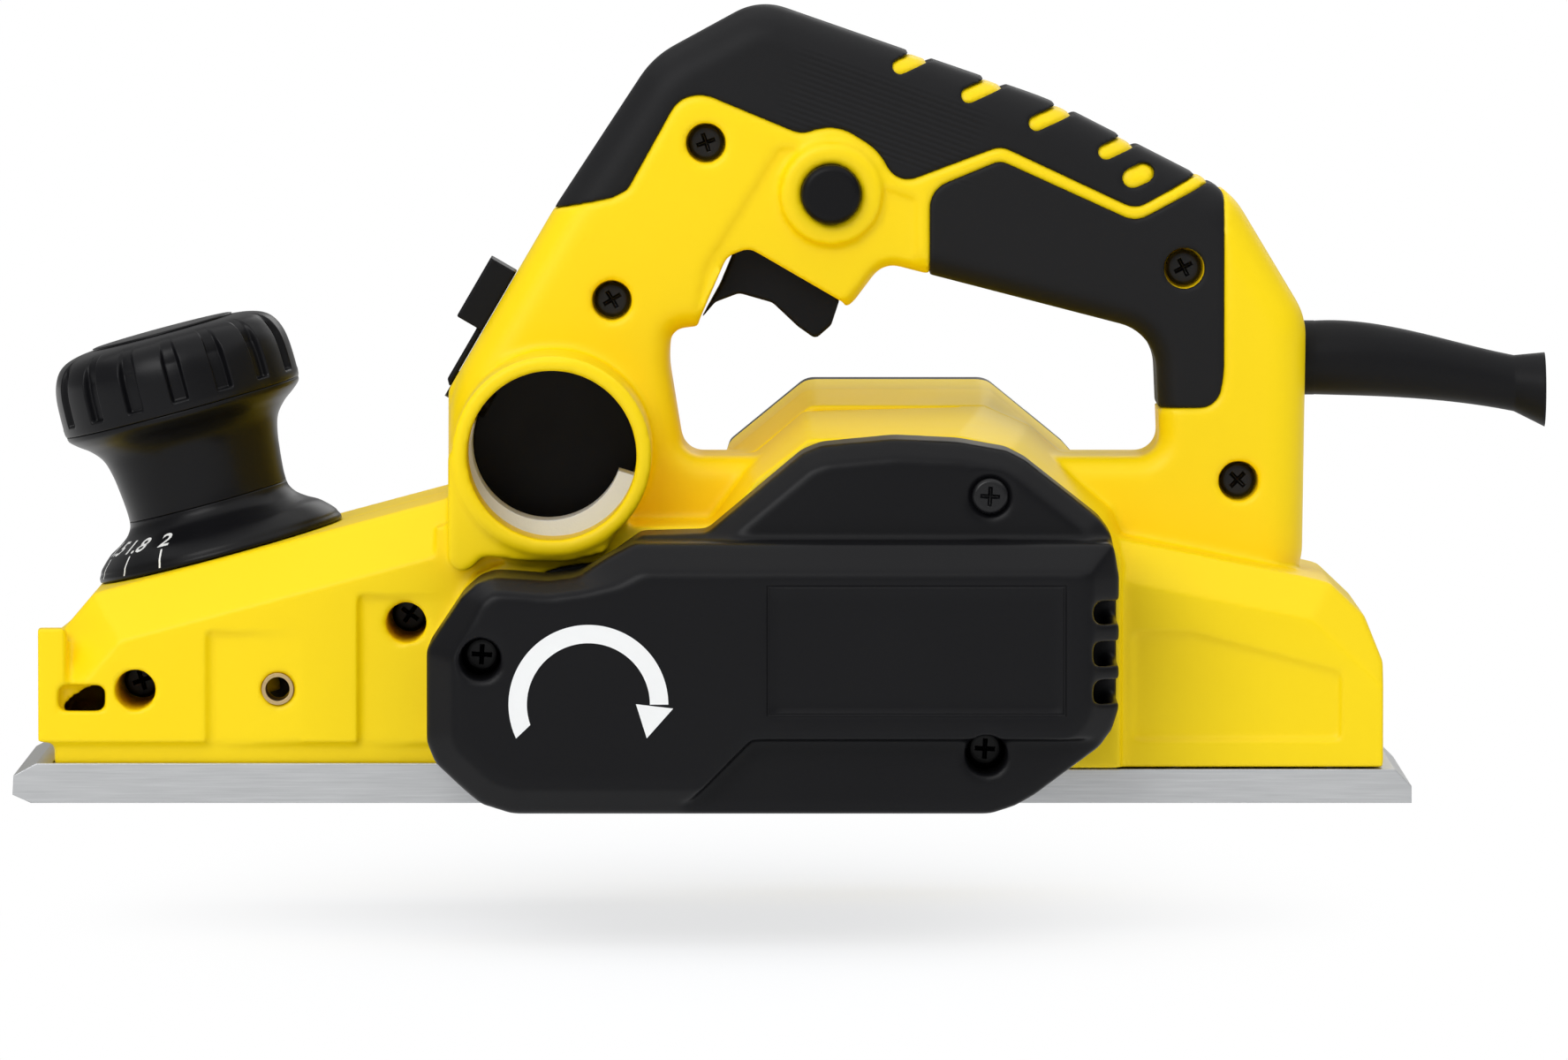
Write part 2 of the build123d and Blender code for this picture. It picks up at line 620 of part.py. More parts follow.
with BuildPart() as left_housing:
    add(left_skin.part)
    for hollow in (loop_inner, front_inner, rear_inner, flare_inner):
        add(hollow, mode=Mode.SUBTRACT)
    block(-133.3, -30, -strip_half + wall, 1, 6.0, 16.0, Mode.SUBTRACT)
    block(8, 136, -body_half + wall, 1, 6.0, 12.0, Mode.SUBTRACT)
    add(left_bosses)
    cut_common(-1)
    bar(motor_x, motor_z, motor_boss_radius + moving, -30, -plinth_half - 1, Mode.SUBTRACT)
    for x, z, half in housing_screw_places:
        bar(x, z, screw_well_radius, -screw_seat_y, -half - 1, Mode.SUBTRACT)
        bar(x, z, screw_radius + seat, 1, -screw_seat_y - 1, Mode.SUBTRACT)
    for x, z in bracket_screw_places + cover_screw_places:
        bar(x, z, screw_radius + seat, -plinth_half + 11.0, -plinth_half - 1, Mode.SUBTRACT)
    bar(insert_x, insert_z, insert_radius + seat, -body_half + insert_length, -body_half - 1, Mode.SUBTRACT)
    slab([(-135.2, 19.0), (-135.2, 24.3), (-125.7, 24.3), (-125.7, 19.0)], 1 + wall - body_half, -body_half - 1,
         0, 0, Mode.SUBTRACT)
    slab(rear_panel, -body_half + 1.0, -body_half - 1, 1.5, 0, Mode.SUBTRACT)
    for x, top in ridge_places:
        with BuildSketch(Plane.XY.offset(strip_top)) as step:
            with BuildLine():
                Polyline((x, -body_half - 0.5), (x, -body_half + 1.5), (x + 26.0, -body_half - 0.5), close=True)
            make_face()
        extrude(step.sketch, amount=top - strip_top, mode=Mode.SUBTRACT)
    slab(lock_region, -handle_half + 1.0, -handle_half - 1, 0, 0, Mode.SUBTRACT)
    bar(lock_x, lock_z, 10.6, -handle_half + wall, -handle_half - 1.6)
    bar(lock_x, lock_z, lock_radius + running, -12, -handle_half - 4, Mode.SUBTRACT)

with BuildPart() as right_housing:
    add(right_skin.part)
    for hollow in (loop_inner, front_inner, rear_inner):
        add(mirror(hollow, about=Plane.XZ), mode=Mode.SUBTRACT)
    slab(flared_outline, body_half - wall, -1, 0, -wall, Mode.SUBTRACT)
    slab(barrel_outline, barrel_end_y - wall, barrel_taper_length, barrel_radii, -wall, Mode.SUBTRACT)
    block(-133.3, -30, -1, strip_half - wall, 6.0, 16.0, Mode.SUBTRACT)
    block(8, 136, -1, body_half - wall, 6.0, 12.0, Mode.SUBTRACT)
    add(right_bosses)
    cut_common(1)
    bar(motor_x, motor_z, motor_bearing_radius + seat, end_bearing_y + seat, 50, Mode.SUBTRACT)
    bar(motor_x, motor_z, shaft_radius + 1.0, barrel_end_y + 1, 50, Mode.SUBTRACT)
    for x, z, half in housing_screw_places:
        bar(x, z, screw_radius + seat, 11.0, -1, Mode.SUBTRACT)
    for x, z in end_cover_screw_places:
        bar(x, z, screw_radius + seat, barrel_end_y + 1, barrel_end_y - 12.0, Mode.SUBTRACT)
    for x, z in side_plate_screw_places:
        bar(x, z, screw_radius + seat, plinth_half + 1, plinth_half - 10.0, Mode.SUBTRACT)
    bar(insert_x, insert_z, insert_radius + seat, body_half + 1, body_half - insert_length, Mode.SUBTRACT)
    slab(rear_panel, body_half + 1, body_half - 1.0, 1.5, 0, Mode.SUBTRACT)

write(left_housing, "left_housing")
write(right_housing, "right_housing")

for side, prefix in ((-1, "left"), (1, "right")):
    for outline, radii, place in (
        (upper_grip_outline, upper_grip_radii, "upper"), (lower_grip_outline, lower_grip_radii, "lower"),
    ):
        with BuildPart() as grip:
            add(soft_grip(outline, radii, side))
        write(grip, prefix + "_" + place + "_grip")

# ================================================================ sole and front shoe
X_AXIS, Y_AXIS, Z_AXIS = (1, 0, 0), (0, 1, 0), (0, 0, 1)
sole_screw_head = 4.0
sole_screw_hole = [(0, -1), (sole_screw_head + 0.1, -1), (sole_screw_head + 0.1, 0.6), (2.05, 2.7), (2.05, 8),
                   (0, 8)]
sole_screw_form = [(0, 0.4), (sole_screw_head, 0.4), (sole_screw_head, 0.65), (screw_radius, 2.7),
                   (screw_radius, 19.0), (0, 19.0)]

with BuildPart() as sole_screws:
    for x, y in sole_screw_places:
        for each in (-y, y):
            turned_form((x, each, 0), Z_AXIS, X_AXIS, sole_screw_form)
            for turn in (0, 90):
                with BuildSketch(Plane.XY) as slot:
                    with Locations(Location((x, each), turn)):
                        Rectangle(4.2, 0.9)
                extrude(slot.sketch, amount=1.8, mode=Mode.SUBTRACT)
write(sole_screws, "sole_screws")

throat_gap = 1.3
with BuildPart() as rear_sole:
    block(drum_x, tail_x, -sole_half, sole_half, 0, rear_sole_thickness)
    bar(drum_x, drum_z, blade_circle_radius + throat_gap, sole_half + 1, -sole_half - 1, Mode.SUBTRACT)
    slab([(tail_x - tail_bevel, rear_sole_thickness + 1), (tail_x - tail_bevel, rear_sole_thickness),
          (tail_x, rear_sole_thickness - tail_bevel), (tail_x + 1, rear_sole_thickness - tail_bevel),
          (tail_x + 1, rear_sole_thickness + 1)], sole_half + 1, -sole_half - 1, 0, 0, Mode.SUBTRACT)
    for x, y in sole_screw_places:
        for each in (-y, y):
            turned_form((x, each, 0), Z_AXIS, X_AXIS, sole_screw_hole, Mode.SUBTRACT)
write(rear_sole, "rear_sole")

# The shoe is a shallow tray: its rim runs outside the housing's lower strip.
shoe_end_x = drum_x
rim_foot_x, rim_end_x = -51.5, -56.2
rim_inner_half = sole_half - shoe_rim_width
tray_front_x = -136.65
post_radius, post_top, post_bore = 9.0, -27.0, 5.3
spindle_low, spindle_high = -41.0, 29.0
pin_boss_radius, pin_boss_top, pin_top = 6.5, -36.0, -12.0
with BuildPart() as front_shoe:
    block(nose_x, shoe_end_x, -sole_half, sole_half, 0, shoe_rim_height)
    block(tray_front_x, 0, -rim_inner_half, rim_inner_half, shoe_plate_thickness, 20, Mode.SUBTRACT)
    slab([(rim_foot_x, shoe_plate_thickness), (rim_end_x, shoe_rim_height), (rim_end_x - 1, 20), (0, 20),
          (0, shoe_plate_thickness)],
         sole_half + 1, -sole_half - 1, 0, 0, Mode.SUBTRACT)
    slab([(-160, 20), (-139.9, 20), (-139.9, shoe_rim_height), (-144.6, 5.7), (nose_x, 1.7), (-141.0, 0),
          (-141.0, -5),
          (-160, -5)], sole_half + 1, -sole_half - 1, 0, 0, Mode.SUBTRACT)
    knob_bar(post_radius, -56.0, post_top)
    for y in (-guide_pin_y, guide_pin_y):
        knob_bar(pin_boss_radius, -56.0, pin_boss_top, y=y)
    block(-160, 0, -sole_half - 1, sole_half + 1, -30, 0, Mode.SUBTRACT)
    bar(drum_x, drum_z, 26.0, sole_half + 1, -sole_half - 1, Mode.SUBTRACT)
    knob_bar(post_bore, -44.0, post_top + 1, Mode.SUBTRACT)
    for y in (-guide_pin_y, guide_pin_y):
        knob_bar(guide_pin_radius + seat, -45.0, pin_boss_top + 1, Mode.SUBTRACT, y=y)
write(front_shoe, "front_shoe")

with BuildPart() as shoe_guide_pins:
    for y in (-guide_pin_y, guide_pin_y):
        knob_bar(guide_pin_radius, -45.0, pin_top, y=y)
write(shoe_guide_pins, "shoe_guide_pins")

with BuildPart() as spindle_bush:
    knob_bar(bush_radius, bush_top - bush_length, bush_top)
    knob_bar(spindle_radius + running, bush_top - bush_length - 1, bush_top + 1, Mode.SUBTRACT)
write(spindle_bush, "spindle_bush")

# ================================================================ depth knob
skirt_top, body_top, knob_bore = 10.7, 31.2, spindle_radius + seat
cap_groove_count, cap_groove_radius, cap_groove_place = 16, 2.3, 26.2
cap_groove_low, cap_groove_high = 33.2, 46.0
with BuildPart() as knob_skirt:
    turned_knob([(knob_bore, 0), (skirt_radius, 0), (skirt_radius, 0.8), (25.8, 1.5), (25.2, 2.6), (22.8, 4.9),
                 (20.4, 6.3), (18.4, 7.8), (17.3, 9.4), (neck_radius, skirt_top), (knob_bore, skirt_top)])
write(knob_skirt, "knob_skirt")

with BuildPart() as knob_body:
    turned_knob([(knob_bore, skirt_top + seat), (neck_radius, skirt_top + seat), (neck_radius, 13.0),
                 (17.35, 17.0), (17.9, 21.0), (18.9, 24.4), (20.9, 26.9), (23.4, 28.8), (24.9, 30.2),
                 (25.1, body_top), (9.0, body_top), (9.0, 24.9), (knob_bore, 24.9)])
write(knob_body, "knob_body")

with BuildPart() as knob_cap:
    turned_knob([(9.0, body_top + seat), (25.2, body_top + seat), (cap_radius, 32.4), (cap_radius, 36.0),
                 (25.2, 39.5), (24.6, 42.2), (23.3, 44.6), (21.4, 46.1), (18.6, 47.0), (15.2, 47.4),
                 (15.2, 45.0), (0, 45.0), (0, 33.0), (9.0, 33.0)])
    for number in range(cap_groove_count):
        turn = radians((number + 0.25) * 360 / cap_groove_count)
        knob_bar(cap_groove_radius, cap_groove_low, cap_groove_high, Mode.SUBTRACT,
                 x=cap_groove_place * cos(turn),
                 y=cap_groove_place * sin(turn))
write(knob_cap, "knob_cap")

with BuildPart() as knob_disc:
    turned_knob([(0, 45.05), (15.1, 45.05), (15.1, 47.4), (9.0, 48.0), (0, 48.2)])
write(knob_disc, "knob_disc")

with BuildPart() as depth_spindle:
    knob_bar(spindle_radius, spindle_low, spindle_high)
write(depth_spindle, "depth_spindle")

with BuildPart() as spindle_nut:
    with BuildSketch(on_knob_axis(24.95)) as hexagon:
        RegularPolygon(8.4, 6)
        Circle(spindle_radius + seat, mode=Mode.SUBTRACT)
    extrude(hexagon.sketch, amount=3.8)
write(spindle_nut, "spindle_nut")

# ================================================================ cutter drum
blade_turns = (35.0, 215.0)
blade_foot, clamp_top, clamp_width = 11.0, 20.4, 6.0
blade_reach = sqrt(blade_circle_radius ** 2 - blade_thickness ** 2)
drum_screw_ys = (-30.0, 0.0, 30.0)


def on_drum(points, turn):
    """Points given as (outwards, sideways) on the drum, turned about its axis."""
    c, s = cos(radians(turn)), sin(radians(turn))
    return [(drum_x + u * c - v * s, drum_z + u * s + v * c) for u, v in points]


def drum_pin(radius, low, high, y, turn, mode=Mode.ADD):
    """Round bar square to the drum's surface, through the middle of a clamp."""
    c, s = cos(radians(turn)), sin(radians(turn))
    v = -clamp_width / 2
    origin = (drum_x + low * c - v * s, y, drum_z + low * s + v * c)
    with BuildSketch(Plane(origin=origin, x_dir=Y_AXIS, z_dir=(c, 0, s))) as profile:
        Circle(radius)
    extrude(profile.sketch, amount=high - low, mode=mode)


with BuildPart() as drum_core:
    bar(drum_x, drum_z, drum_radius, drum_half, -drum_half)
    bar(drum_x, drum_z, 8.6, -drum_half, drum_bearing_y + running)
    bar(drum_x, drum_z, drum_journal_radius, drum_bearing_y + 1, -71.5)
    bar(drum_x, drum_z, 6.4, -stub_bearing_width + stub_bearing_y - running, drum_half)
    bar(drum_x, drum_z, drum_stub_radius, stub_bearing_y - 0.2, drum_half)
    for turn in blade_turns:
        slab(on_drum([(blade_foot, -clamp_width), (blade_foot, blade_thickness), (26, blade_thickness),
                      (26, -clamp_width)],
                     turn), drum_half + 1, -drum_half - 1, 0, 0, Mode.SUBTRACT)
        for y in drum_screw_ys:
            drum_pin(screw_radius + seat, 6.0, 14.0, y, turn, Mode.SUBTRACT)
write(drum_core, "drum_core")

with BuildPart() as drum_blades:
    for turn in blade_turns:
        slab(on_drum([(blade_foot, 0), (blade_foot, blade_thickness), (blade_reach, blade_thickness),
                      (blade_reach - 2.0, 0)],
                     turn), drum_half, -drum_half)
write(drum_blades, "drum_blades")

with BuildPart() as blade_clamps:
    for turn in blade_turns:
        slab(on_drum([(blade_foot, -clamp_width), (blade_foot, 0), (clamp_top, 0),
                      (clamp_top - 1.5, -clamp_width)], turn),
             drum_half, -drum_half)
        for y in drum_screw_ys:
            drum_pin(screw_radius + seat, 5.0, 26.0, y, turn, Mode.SUBTRACT)
            drum_pin(2.7, 17.5, 26.0, y, turn, Mode.SUBTRACT)
write(blade_clamps, "blade_clamps")

with BuildPart() as blade_screws:
    for turn in blade_turns:
        for y in drum_screw_ys:
            drum_pin(screw_radius, 6.5, 18.0, y, turn)
            drum_pin(2.65, 17.55, 19.6, y, turn)
            drum_pin(1.2, 18.4, 21.0, y, turn, Mode.SUBTRACT)
write(blade_screws, "blade_screws")

flange = 0.8
with BuildPart() as drum_pulley:
    ring(drum_x, drum_z, drum_pulley_radius, drum_journal_radius + seat, belt_near_y + 1.0, belt_far_y - 1.0)
    for y in (belt_near_y + 1.0, belt_far_y - 1.0 + flange):
        ring(drum_x, drum_z, drum_pulley_radius + 2.4, drum_journal_radius + seat, y, y - flange)
write(drum_pulley, "drum_pulley")

with BuildPart() as pulley_nut:
    with BuildSketch(at_y(belt_far_y - 1.05)) as hexagon:
        with Locations((drum_x, drum_z)):
            RegularPolygon(9.8, 6)
            Circle(drum_journal_radius + seat, mode=Mode.SUBTRACT)
    extrude(hexagon.sketch, amount=6.0)
write(pulley_nut, "pulley_nut")

# ================================================================ drive side
bracket_face = -plinth_half - seat
bracket_out = bracket_face - plate_thickness
bracket_hull = [(drum_x, drum_z, 29.0), (motor_x, motor_z, 23.2), (-8.0, 50.5, 4.0), (6.5, 18.0, 6.0)]
deep_post = cover_screw_places[2]
with BuildPart() as bearing_bracket:
    around(bracket_hull, bracket_face, bracket_out)
    slab(inset(cover_line, cover_wall + moving), 0, -90, 0, 0, Mode.INTERSECT)
    bar(drum_x, drum_z, chamber_radius - seat, -drum_half - 0.65, bracket_face)
    bar(drum_x, drum_z, drum_boss_radius, bracket_face, drum_bearing_y - bearing_width)
    bar(motor_x, motor_z, motor_boss_radius, -41.0, motor_bearing_y - bearing_width - 1.0)
    bar(deep_post[0], deep_post[1], 5.2, bracket_face, -52.0)
    block(-100, 100, -90, 0, -20, 3.5, Mode.SUBTRACT)
    bar(drum_x, drum_z, 10.0, 0, -80, Mode.SUBTRACT)
    bar(drum_x, drum_z, drum_bearing_radius + seat, drum_bearing_y + seat, -80, Mode.SUBTRACT)
    bar(motor_x, motor_z, 8.0, 0, -80, Mode.SUBTRACT)
    bar(motor_x, motor_z, motor_bearing_radius + seat, motor_bearing_y + seat, -80, Mode.SUBTRACT)
    for x, z in bracket_screw_places:
        bar(x, z, screw_radius + seat, 0, -80, Mode.SUBTRACT)
    bar(cover_screw_places[0][0], cover_screw_places[0][1], 5.6, 0, -80, Mode.SUBTRACT)
    bar(deep_post[0], deep_post[1], screw_radius + seat, 0, -80, Mode.SUBTRACT)
write(bearing_bracket, "bearing_bracket")

with BuildPart() as bracket_screws:
    for x, z in bracket_screw_places:
        screw_along_y(x, z, bracket_out - seat, 7.0)
write(bracket_screws, "bracket_screws")

with BuildPart() as drum_bearings:
    ball_bearing(drum_x, drum_z, drum_bearing_radius, drum_journal_radius + running, drum_bearing_y,
                 bearing_width)
    ball_bearing(drum_x, drum_z, stub_bearing_radius, drum_stub_radius + running, stub_bearing_y,
                 stub_bearing_width)
write(drum_bearings, "drum_bearings")

with BuildPart() as motor_bearings:
    ball_bearing(motor_x, motor_z, motor_bearing_radius, shaft_radius + running, motor_bearing_y, bearing_width)
    ball_bearing(motor_x, motor_z, motor_bearing_radius, shaft_radius + running, end_bearing_y, bearing_width)
write(motor_bearings, "motor_bearings")

belt_gap = 0.3
with BuildPart() as drive_belt:
    around([(drum_x, drum_z, drum_pulley_radius + belt_thickness),
            (motor_x, motor_z, motor_pulley_radius + belt_thickness)],
           belt_near_y - seat, belt_far_y + seat)
    with BuildPart(mode=Mode.SUBTRACT):
        around([(drum_x, drum_z, drum_pulley_radius + belt_gap),
                (motor_x, motor_z, motor_pulley_radius + belt_gap)],
               belt_near_y + 1, belt_far_y - 1)
write(drive_belt, "drive_belt")

side_face = plinth_half + seat
with BuildPart() as drum_side_plate:
    around([(drum_x, drum_z, 29.0)] + [(x, z, 4.6) for x, z in side_plate_screw_places],
           side_face + plate_thickness, side_face)
    bar(drum_x, drum_z, chamber_radius - seat, side_face, drum_half + 0.65)
    bar(drum_x, drum_z, 14.0, stub_bearing_y + 2.5, side_face)
    slab(barrel_outline, 80, 0, barrel_radii, moving, Mode.SUBTRACT)
    bar(port_x, port_z, port_outer_radius + moving, 80, 0, Mode.SUBTRACT)
    block(-100, 100, 0, 90, -20, 1.0, Mode.SUBTRACT)
    bar(drum_x, drum_z, 7.5, 49.0, 0, Mode.SUBTRACT)
    bar(drum_x, drum_z, stub_bearing_radius + seat, stub_bearing_y + seat,
        stub_bearing_y - stub_bearing_width - 0.5,
        Mode.SUBTRACT)
    for x, z in side_plate_screw_places:
        bar(x, z, screw_radius + seat, 80, 0, Mode.SUBTRACT)
write(drum_side_plate, "drum_side_plate")

with BuildPart() as side_plate_screws:
    for x, z in side_plate_screw_places:
        bar(x, z, screw_radius, side_face + plate_thickness + 1, plinth_half - 8.5)
        bar(x, z, screw_head_radius, side_face + plate_thickness + seat + screw_head_height,
            side_face + plate_thickness + seat)
        bar(x, z, 1.6, 60, side_face + plate_thickness + 1.2, Mode.SUBTRACT)
write(side_plate_screws, "side_plate_screws")

# ================================================================ motor
with BuildPart() as rotor_shaft:
    bar(motor_x, motor_z, shaft_radius, 64.5, belt_far_y - 1.5)
write(rotor_shaft, "rotor_shaft")

with BuildPart() as rotor_core:
    ring(motor_x, motor_z, rotor_radius, shaft_radius + seat, stator_far_y - 1.0, stator_near_y + 1.0)
    for turn in range(12):
        c, s = cos(radians(turn * 30)), sin(radians(turn * 30))
        bar(motor_x + 14.0 * c, motor_z + 14.0 * s, 1.7, 50, -50, Mode.SUBTRACT)
write(rotor_core, "rotor_core")

with BuildPart() as rotor_windings:
    for base, tip in ((stator_near_y + 0.95, -20.0), (stator_far_y - 0.95, 42.0)):
        step = (tip - base) / 4
        turned_form((motor_x, 0, motor_z), Y_AXIS, X_AXIS, [
            (shaft_radius + seat, base), (14.8, base), (15.0, base + step), (14.4, base + 2.6 * step),
            (11.4, tip), (shaft_radius + seat, tip)])
write(rotor_windings, "rotor_windings")

with BuildPart() as commutator:
    ring(motor_x, motor_z, 11.0, shaft_radius + seat, 54.0, 43.0)
    ring(motor_x, motor_z, 12.6, shaft_radius + seat, 44.6, 43.0)
    for turn in range(18):
        with BuildSketch(at_y(54.5)) as groove:
            with Locations(Location((motor_x, motor_z), turn * 20.0)):
                with Locations((11.0, 0)):
                    Rectangle(1.6, 0.6)
        extrude(groove.sketch, amount=9.9, mode=Mode.SUBTRACT)
write(commutator, "commutator")

fan_y_near, fan_y_far = -24.0, -36.0
with BuildPart() as motor_fan:
    bar(motor_x, motor_z, 8.5, fan_y_near, fan_y_far)
    bar(motor_x, motor_z, fan_radius, fan_y_near, fan_y_near - 1.6)
    for turn in range(11):
        with BuildSketch(at_y(fan_y_near - 1.0)) as blade:
            with Locations(Location((motor_x, motor_z), turn * 360.0 / 11)):
                with Locations(Location((15.4, 0), 14.0)):
                    Rectangle(15.6, 1.4)
        extrude(blade.sketch, amount=11.0)
    bar(motor_x, motor_z, shaft_radius + seat, 0, -50, Mode.SUBTRACT)
write(motor_fan, "motor_fan")

with BuildPart() as motor_pulley:
    ring(motor_x, motor_z, motor_pulley_radius, shaft_radius + seat, belt_near_y + 1.0, belt_far_y - 1.0)
    for turn in range(14):
        c, s = cos(radians(turn * 360.0 / 14)), sin(radians(turn * 360.0 / 14))
        bar(motor_x + 9.3 * c, motor_z + 9.3 * s, 0.8, belt_near_y, belt_far_y, Mode.SUBTRACT)
write(motor_pulley, "motor_pulley")

with BuildPart() as stator_core:
    ring(motor_x, motor_z, stator_radius, stator_bore_radius, stator_far_y, stator_near_y)
    for turn in (45.0, 135.0, 225.0, 315.0):
        c, s = cos(radians(turn)), sin(radians(turn))
        bar(motor_x + stator_radius * c, motor_z + stator_radius * s, 2.0, 50, -50, Mode.SUBTRACT)
write(stator_core, "stator_core")

with BuildPart() as field_coils:
    for near, far in ((stator_near_y - seat, -19.5), (42.0, stator_far_y + seat)):
        for turn in (90.0, 270.0):
            with BuildSketch(at_y(near)) as coil:
                with Locations((motor_x, motor_z)):
                    Circle(25.5)
                    Circle(18.2, mode=Mode.SUBTRACT)
                with Locations(Location((motor_x, motor_z), turn)):
                    with Locations((18.0, 0)):
                        Rectangle(24.0, 36.0, mode=Mode.INTERSECT)
            extrude(coil.sketch, amount=near - far)
write(field_coils, "field_coils")

brush_in, brush_out, holder_in, holder_out = 11.05, 23.0, 13.5, 39.0
with BuildPart() as brush_holders:
    for hand in (-1, 1):
        block(min(motor_x + hand * holder_in, motor_x + hand * holder_out),
              max(motor_x + hand * holder_in, motor_x + hand * holder_out),
              brush_y - 5.0, 53.95, motor_z - 5.5, motor_z + 5.5)
        block(min(motor_x + hand * (holder_in - 1), motor_x + hand * (holder_out - 1.6)),
              max(motor_x + hand * (holder_in - 1), motor_x + hand * (holder_out - 1.6)),
              brush_y - 3.2, brush_y + 3.2, motor_z - 4.1, motor_z + 4.1, Mode.SUBTRACT)
write(brush_holders, "brush_holders")

with BuildPart() as carbon_brushes:
    for hand in (-1, 1):
        block(min(motor_x + hand * brush_in, motor_x + hand * brush_out),
              max(motor_x + hand * brush_in, motor_x + hand * brush_out),
              brush_y - 3.15, brush_y + 3.15, motor_z - 4.05, motor_z + 4.05)
    bar(motor_x, motor_z, 11.05, 60, 40, Mode.SUBTRACT)
write(carbon_brushes, "carbon_brushes")

with BuildPart() as brush_springs:
    for hand in (-1, 1):
        low, high = brush_out + seat, holder_out - 1.6 - seat
        for turn in range(7):
            middle = motor_x + hand * (low + 0.4 + turn * (high - low - 0.8) / 6)
            with BuildSketch(Plane.YZ.offset(middle - 0.4)) as coil:
                with Locations((brush_y, motor_z)):
                    Circle(2.8)
                    Circle(2.0, mode=Mode.SUBTRACT)
            extrude(coil.sketch, amount=0.8)
        first, last = sorted((motor_x + hand * low, motor_x + hand * high))
        for z in (motor_z - 2.7, motor_z + 2.1):
            block(first, last, brush_y - 0.3, brush_y + 0.3, z, z + 0.6)
write(brush_springs, "brush_springs")
# ================================================================ covers
end_cover_step, end_cover_wall = 0.1, 2.4
with BuildPart() as motor_end_cover:
    slab(barrel_outline, barrel_end_y + end_cover_depth, barrel_end_y + seat, barrel_radii, -end_cover_step)
    end_face = motor_end_cover.faces().sort_by(Axis.Y)[-1]
    chamfer(end_face.edges(), 1.9)
    slab(barrel_outline, barrel_end_y + end_cover_depth - end_cover_wall, barrel_end_y, barrel_radii,
         -end_cover_step - end_cover_wall, Mode.SUBTRACT)
    for x, z in end_cover_screw_places:
        bar(x, z, 5.6, barrel_end_y + end_cover_depth - 1.0, barrel_end_y + seat)
    slab(barrel_outline, barrel_end_y + end_cover_depth + 3, barrel_end_y, barrel_radii, -end_cover_step,
         Mode.INTERSECT)
    for x, z in end_cover_screw_places:
        bar(x, z, screw_well_radius, 90, barrel_end_y + 4.0, Mode.SUBTRACT)
        bar(x, z, screw_radius + seat, 90, 60, Mode.SUBTRACT)
    for row in range(-3, 4):
        with BuildSketch(at_y(90)) as vent:
            with Locations((motor_x, motor_z + row * 6.2)):
                SlotOverall(44.0 - 3.4 * abs(row), 2.6)
        extrude(vent.sketch, amount=20.0, mode=Mode.SUBTRACT)
write(motor_end_cover, "motor_end_cover")

with BuildPart() as end_cover_screws:
    for x, z in end_cover_screw_places:
        head_y = barrel_end_y + 4.0 + seat
        bar(x, z, screw_radius, head_y + 1, barrel_end_y - 11.0)
        bar(x, z, screw_head_radius, head_y + screw_head_height, head_y)
        for turn in (0, 90):
            with BuildSketch(at_y(head_y + screw_head_height + 1)) as slot:
                with Locations(Location((x, z), turn)):
                    Rectangle(4.2, 0.9)
            extrude(slot.sketch, amount=2.4, mode=Mode.SUBTRACT)
write(end_cover_screws, "end_cover_screws")

# The belt cover: a low lobe over the motor end, a deeper plateau below it.
cover_bevel, port_face_lift = 6.0, 3.0
lobe_y = cover_face_y + 12.0
cover_back_y = -plinth_half - seat
lower_corner = [(-4.1, 3.2), (8.3, 15.7), (90.0, 15.7), (90.0, -20.0), (-6.0, -20.0), (-6.0, 3.2)]
vent_end_y = cover_back_y - 8.0
vent_rows = [(39.5, 43.8), (30.8, 35.7), (23.1, 27.8)]
# each post: place, foot, screw seat, end of the well's wall, radius
cover_posts = [(cover_screw_places[0], cover_back_y, lobe_y + 1.5, lobe_y + 1.0, 5.2),
               (cover_screw_places[1], cover_back_y, -56.0, -73.0, 6.6),
               (cover_screw_places[2], -52.0 - seat, -60.0, -77.5, 5.3)]
